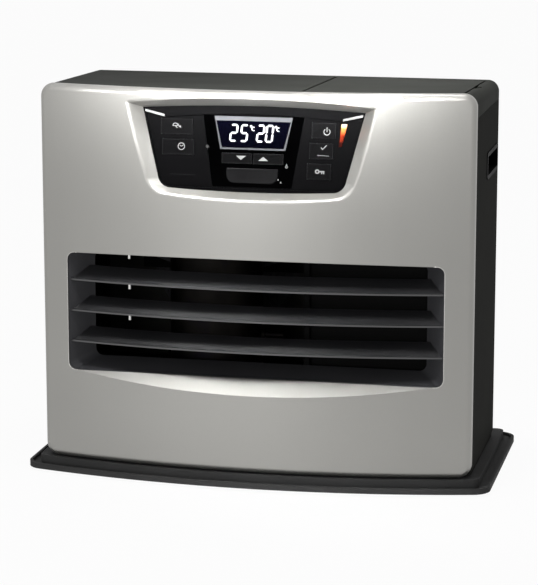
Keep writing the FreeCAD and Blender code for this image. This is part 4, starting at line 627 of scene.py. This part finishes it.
# outlet edge: a fine bead at each end of the opening, set on the bowed front; its pale metal is a
# painted highlight for the light line along the opening's edge
BOW = 0.9586
FACE_Y = -0.122
BEAD_HALF, BEAD_LOW, BEAD_TOP = 201.6 * MM, 113.4 * MM, 241.3 * MM
BEAD_CORNER = 8.6 * MM
BEAD_WIDTH = 0.8 * MM
BEAD_THICK = 0.7 * MM
BEAD_ROUND = 0.3 * MM
BEAD_SUNK = 0.45 * MM
BEAD_SLACK = 0.1 * MM
BEAD_END = 190 * MM


def set_on_bow(mesh):
    for vert in mesh.verts:
        vert.co.y += FACE_Y + BOW - math.sqrt(BOW ** 2 - vert.co.x ** 2)


def outlet_bead():
    mesh = bmesh.new()
    places = ((-BEAD_HALF, BEAD_LOW), (BEAD_HALF, BEAD_LOW),
              (BEAD_HALF, BEAD_TOP), (-BEAD_HALF, BEAD_TOP))
    corners = [mesh.verts.new((x, 0, z)) for x, z in places]
    mesh.faces.new(corners)
    rounded(mesh, corners, "VERTICES", BEAD_CORNER, 8)
    bmesh.ops.inset_individual(mesh, faces=list(mesh.faces), thickness=BEAD_WIDTH)
    middle = max(mesh.faces, key=lambda face: face.calc_area())
    bmesh.ops.delete(mesh, geom=[middle], context="FACES_ONLY")
    for side in (1, -1):
        bmesh.ops.bisect_plane(mesh, geom=[*mesh.verts, *mesh.edges, *mesh.faces], dist=MERGE,
                               plane_co=(side * BEAD_END, 0, 0), plane_no=(side, 0, 0))
    spare = [face for face in mesh.faces if abs(face.calc_center_median().x) < BEAD_END]
    bmesh.ops.delete(mesh, geom=spare, context="FACES")
    raised = bmesh.ops.extrude_face_region(mesh, geom=list(mesh.faces))
    bmesh.ops.translate(mesh, verts=verts_of(raised), vec=(0, -BEAD_THICK, 0))
    front = BEAD_SLACK - BEAD_THICK
    rim = [edge for edge in mesh.edges
           if all(vert.co.y < front for vert in edge.verts) and len(edge.link_faces) == 2
           and any(abs(face.normal.y) < 0.5 for face in edge.link_faces)]
    rounded(mesh, rim, "EDGES", BEAD_ROUND, 3)
    set_on_bow(mesh)
    bmesh.ops.translate(mesh, verts=mesh.verts, vec=(0, BEAD_SUNK, 0))
    # the bead's pale steel tint is a painted highlight
    finished("outlet_bead", mesh, drawn_steel("outlet edge painted highlight", (0.52, 0.51, 0.49), 0.3, "Z"),
             "housing")


outlet_bead()


# rear screws: six round heads with a cross recess, on the shanks of the solids
SCREW_LOW, SCREW_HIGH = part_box("rear_screws")
SCREW_HEAD = 4.0 * MM
HEAD_HEIGHT = 2.2 * MM
CROSS_DEPTH = 0.7 * HEAD_HEIGHT
HEAD_ROUND = 0.35 * HEAD_HEIGHT
SCREW_SHANK = 2.0 * MM
SCREW_LENGTH = SCREW_HIGH.y - SCREW_LOW.y - HEAD_HEIGHT
SCREW_FACE = SCREW_HIGH.y
SCREW_MID = 200 * MM


def in_cross(face):
    middle = face.calc_center_median()
    return face.normal.z > 0.5 and middle.length < 0.6 and min(abs(middle.x), abs(middle.y)) < 0.2


def cross_screw(mesh, x, z):
    head = bmesh.new()
    bmesh.ops.create_grid(head, x_segments=8, y_segments=8, size=1.0)
    for vert in head.verts:
        across, up = vert.co.x, vert.co.y
        vert.co.x = across * math.sqrt(1 - up * up / 2)
        vert.co.y = up * math.sqrt(1 - across * across / 2)
    rim = [edge for edge in head.edges if edge.is_boundary]
    skirt = verts_of(bmesh.ops.extrude_edge_only(head, edges=rim))
    cross = [face for face in head.faces if in_cross(face)]
    sunk = verts_of(bmesh.ops.extrude_face_region(head, geom=cross))
    bmesh.ops.delete(head, geom=cross, context="FACES_ONLY")
    bmesh.ops.scale(head, verts=head.verts, vec=(SCREW_HEAD, SCREW_HEAD, 1))
    bmesh.ops.translate(head, verts=skirt, vec=(0, 0, -HEAD_HEIGHT))
    bmesh.ops.translate(head, verts=sunk, vec=(0, 0, -CROSS_DEPTH))
    bmesh.ops.contextual_create(head, geom=[edge for edge in head.edges if edge.is_boundary])
    bmesh.ops.recalc_face_normals(head, faces=head.faces)
    edge_ring = [edge for edge in head.edges if len(edge.link_faces) == 2
                 and all(abs(vert.co.z) < 1e-6 and vert.co.xy.length > 0.98 * SCREW_HEAD
                         for vert in edge.verts)]
    rounded(head, edge_ring, "EDGES", HEAD_ROUND, 3)
    shank_middle = -HEAD_HEIGHT - SCREW_LENGTH / 2
    bmesh.ops.create_cone(head, cap_ends=True, segments=20, radius1=SCREW_SHANK,
                          radius2=SCREW_SHANK, depth=SCREW_LENGTH,
                          matrix=Matrix.Translation((0, 0, shank_middle)))
    bmesh.ops.transform(head, verts=head.verts, matrix=Matrix.Translation((x, SCREW_FACE, z))
                        @ Matrix.Rotation(math.radians(-90), 4, "X"))
    spare = bpy.data.meshes.new("screw")
    head.to_mesh(spare)
    head.free()
    mesh.from_mesh(spare)
    bpy.data.meshes.remove(spare)


def rear_screws():
    mesh = bmesh.new()
    low, high = SCREW_LOW.z + SCREW_HEAD, SCREW_HIGH.z - SCREW_HEAD
    for x in (SCREW_LOW.x + SCREW_HEAD, SCREW_HIGH.x - SCREW_HEAD):
        for z in (low, SCREW_MID, high):
            cross_screw(mesh, x, z)
    screws = finished("cross_head_screws", mesh, nodes["rear_screws"].data.materials[0], "housing")
    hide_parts("rear_screws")


rear_screws()


# fan filter: its cloth, a thin layer behind the bars
CLOTH_MARGIN = 8 * MM
CLOTH_THICK = 0.3 * MM
CLOTH_DEPTH = 0.4 * MM


def filter_cloth():
    low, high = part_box("fan_filter")
    mesh = bmesh.new()
    bmesh.ops.create_cube(mesh, size=1.0)
    bmesh.ops.scale(mesh, verts=mesh.verts, vec=(high.x - low.x - CLOTH_MARGIN, CLOTH_THICK,
                                                 high.z - low.z - CLOTH_MARGIN))
    bmesh.ops.translate(mesh, verts=mesh.verts, vec=((low.x + high.x) / 2, low.y + CLOTH_DEPTH,
                                                     (low.z + high.z) / 2))
    cloth = Finish("dark filter cloth")
    weave = cloth.blend_values(cloth.wave(420.0, "X"), cloth.wave(420.0, "Z"), 0.5)
    cloth.colour(weave, (0.25, (0.010, 0.010, 0.011)), (0.75, (0.050, 0.050, 0.054)))
    cloth.rough(weave, 0.7, 0.9)
    cloth.bump(weave, 0.6, 0.0003)
    finished("filter_cloth", mesh, cloth.material, "filter")


filter_cloth()


# stage: white surroundings, a pale floor, soft boxes round the heater and the camera
AMBIENT = 0.35
BACKDROP = 1.0
FLOOR_HALF = 12.0
FLOOR_WHITE = 0.95
SOFT_BOXES = (
    # name, place, aim, width, height, power in watts, spread in degrees
    ("brow_box", (0.01, -0.24, 0.46), (0.01, -0.12, 0.43), 0.30, 0.03, 0.95, 110),
    ("left_edge_box", (-0.175, -0.185, 0.450), (-0.185, -0.105, 0.41), 0.10, 0.01, 0.18, 180),
    ("right_edge_box", (0.185, -0.185, 0.450), (0.195, -0.105, 0.41), 0.08, 0.01, 0.11, 180),
    ("low_box", (-0.32, -1.5, 0.30), (0, -0.12, 0.25), 0.35, 0.35, 2.65, 180),
    ("top_box", (0.0, -0.25, 1.7), (0, -0.1, 0.2), 1.2, 1.0, 6.0, 180),
    ("facet_box", (-0.075, -0.29, 0.62), (0.015, -0.115, 0.107), 0.28, 0.05, 0.124, 34),
    ("plinth_box", (-0.50, -1.2, 0.05), (-0.12, -0.12, 0.05), 0.90, 0.06, 0.045, 26),
    ("lid_box", (0.13, 0.02, 0.80), (0.13, 0.02, 0.418), 0.15, 0.15, 0.2, 50),
    ("roof_box", (0.0, -0.19, 0.31), (0.0, -0.112, 0.402), 0.22, 0.01, 0.085, 40),
)
CAMERA_AZIMUTH = math.radians(12.41)
CAMERA_ELEVATION = math.radians(11.66)
CAMERA_AIM = Vector((-0.00399, -0.005, 0.18621))
CAMERA_DISTANCE = 2.7
CAMERA_LENS = 153.94
CAMERA_SENSOR = 36.0


def seen_directly(tree):
    path = tree.nodes.new("ShaderNodeLightPath")
    first = tree.nodes.new("ShaderNodeMath")
    first.operation = "MAXIMUM"
    tree.links.new(path.outputs["Is Camera Ray"], first.inputs[0])
    tree.links.new(path.outputs["Is Glossy Ray"], first.inputs[1])
    second = tree.nodes.new("ShaderNodeMath")
    second.operation = "MAXIMUM"
    tree.links.new(first.outputs["Value"], second.inputs[0])
    tree.links.new(path.outputs["Is Transmission Ray"], second.inputs[1])
    return second.outputs["Value"]


def surroundings():
    world = bpy.data.worlds.new("white surroundings")
    bpy.context.scene.world = world
    world.use_nodes = True
    tree = world.node_tree
    ambient = tree.nodes["Background"]
    backdrop = tree.nodes.new("ShaderNodeBackground")
    for light, strength in ((ambient, AMBIENT), (backdrop, BACKDROP)):
        light.inputs["Color"].default_value = (1, 1, 1, 1)
        light.inputs["Strength"].default_value = strength
    mix = tree.nodes.new("ShaderNodeMixShader")
    tree.links.new(seen_directly(tree), mix.inputs["Fac"])
    tree.links.new(ambient.outputs["Background"], mix.inputs[1])
    tree.links.new(backdrop.outputs["Background"], mix.inputs[2])
    tree.links.new(mix.outputs["Shader"], tree.nodes["World Output"].inputs["Surface"])


def pale_floor():
    mesh = bmesh.new()
    bmesh.ops.create_grid(mesh, x_segments=1, y_segments=1, size=FLOOR_HALF)
    data = bpy.data.meshes.new("pale_floor")
    mesh.to_mesh(data)
    mesh.free()
    floor = bpy.data.objects.new("pale_floor", data)
    bpy.context.scene.collection.objects.link(floor)
    material = bpy.data.materials.new("pale floor")
    material.use_nodes = True
    tree = material.node_tree
    paint = tree.nodes["Principled BSDF"]
    paint.inputs["Base Color"].default_value = (0.9, 0.9, 0.9, 1)
    paint.inputs["Roughness"].default_value = 0.9
    white = tree.nodes.new("ShaderNodeEmission")
    share = tree.nodes.new("ShaderNodeMath")
    share.operation = "MULTIPLY"
    share.inputs[1].default_value = FLOOR_WHITE
    tree.links.new(seen_directly(tree), share.inputs[0])
    mix = tree.nodes.new("ShaderNodeMixShader")
    tree.links.new(share.outputs["Value"], mix.inputs["Fac"])
    tree.links.new(paint.outputs["BSDF"], mix.inputs[1])
    tree.links.new(white.outputs["Emission"], mix.inputs[2])
    tree.links.new(mix.outputs["Shader"], tree.nodes["Material Output"].inputs["Surface"])
    data.materials.append(material)


def soft_box(name, place, aim, width, height, power, spread):
    light = bpy.data.lights.new(name, "AREA")
    light.shape = "RECTANGLE"
    light.size = width
    light.size_y = height
    light.energy = power
    light.spread = math.radians(spread)
    lamp = bpy.data.objects.new(name, light)
    lamp.location = place
    lamp.rotation_euler = (Vector(aim) - Vector(place)).to_track_quat("-Z", "Y").to_euler()
    lamp.visible_camera = False
    bpy.context.scene.collection.objects.link(lamp)


def photo_camera():
    level = math.cos(CAMERA_ELEVATION)
    back = Vector((math.sin(CAMERA_AZIMUTH) * level, -math.cos(CAMERA_AZIMUTH) * level,
                   math.sin(CAMERA_ELEVATION)))
    data = bpy.data.cameras.new("photo_camera")
    data.sensor_width = CAMERA_SENSOR
    data.lens = CAMERA_LENS
    camera = bpy.data.objects.new("photo_camera", data)
    camera.location = CAMERA_AIM + back * CAMERA_DISTANCE
    camera.rotation_euler = (-back).to_track_quat("-Z", "Y").to_euler()
    bpy.context.scene.collection.objects.link(camera)
    bpy.context.scene.camera = camera


surroundings()
pale_floor()
for box in SOFT_BOXES:
    soft_box(*box)
photo_camera()
bpy.context.scene.view_settings.view_transform = "Standard"
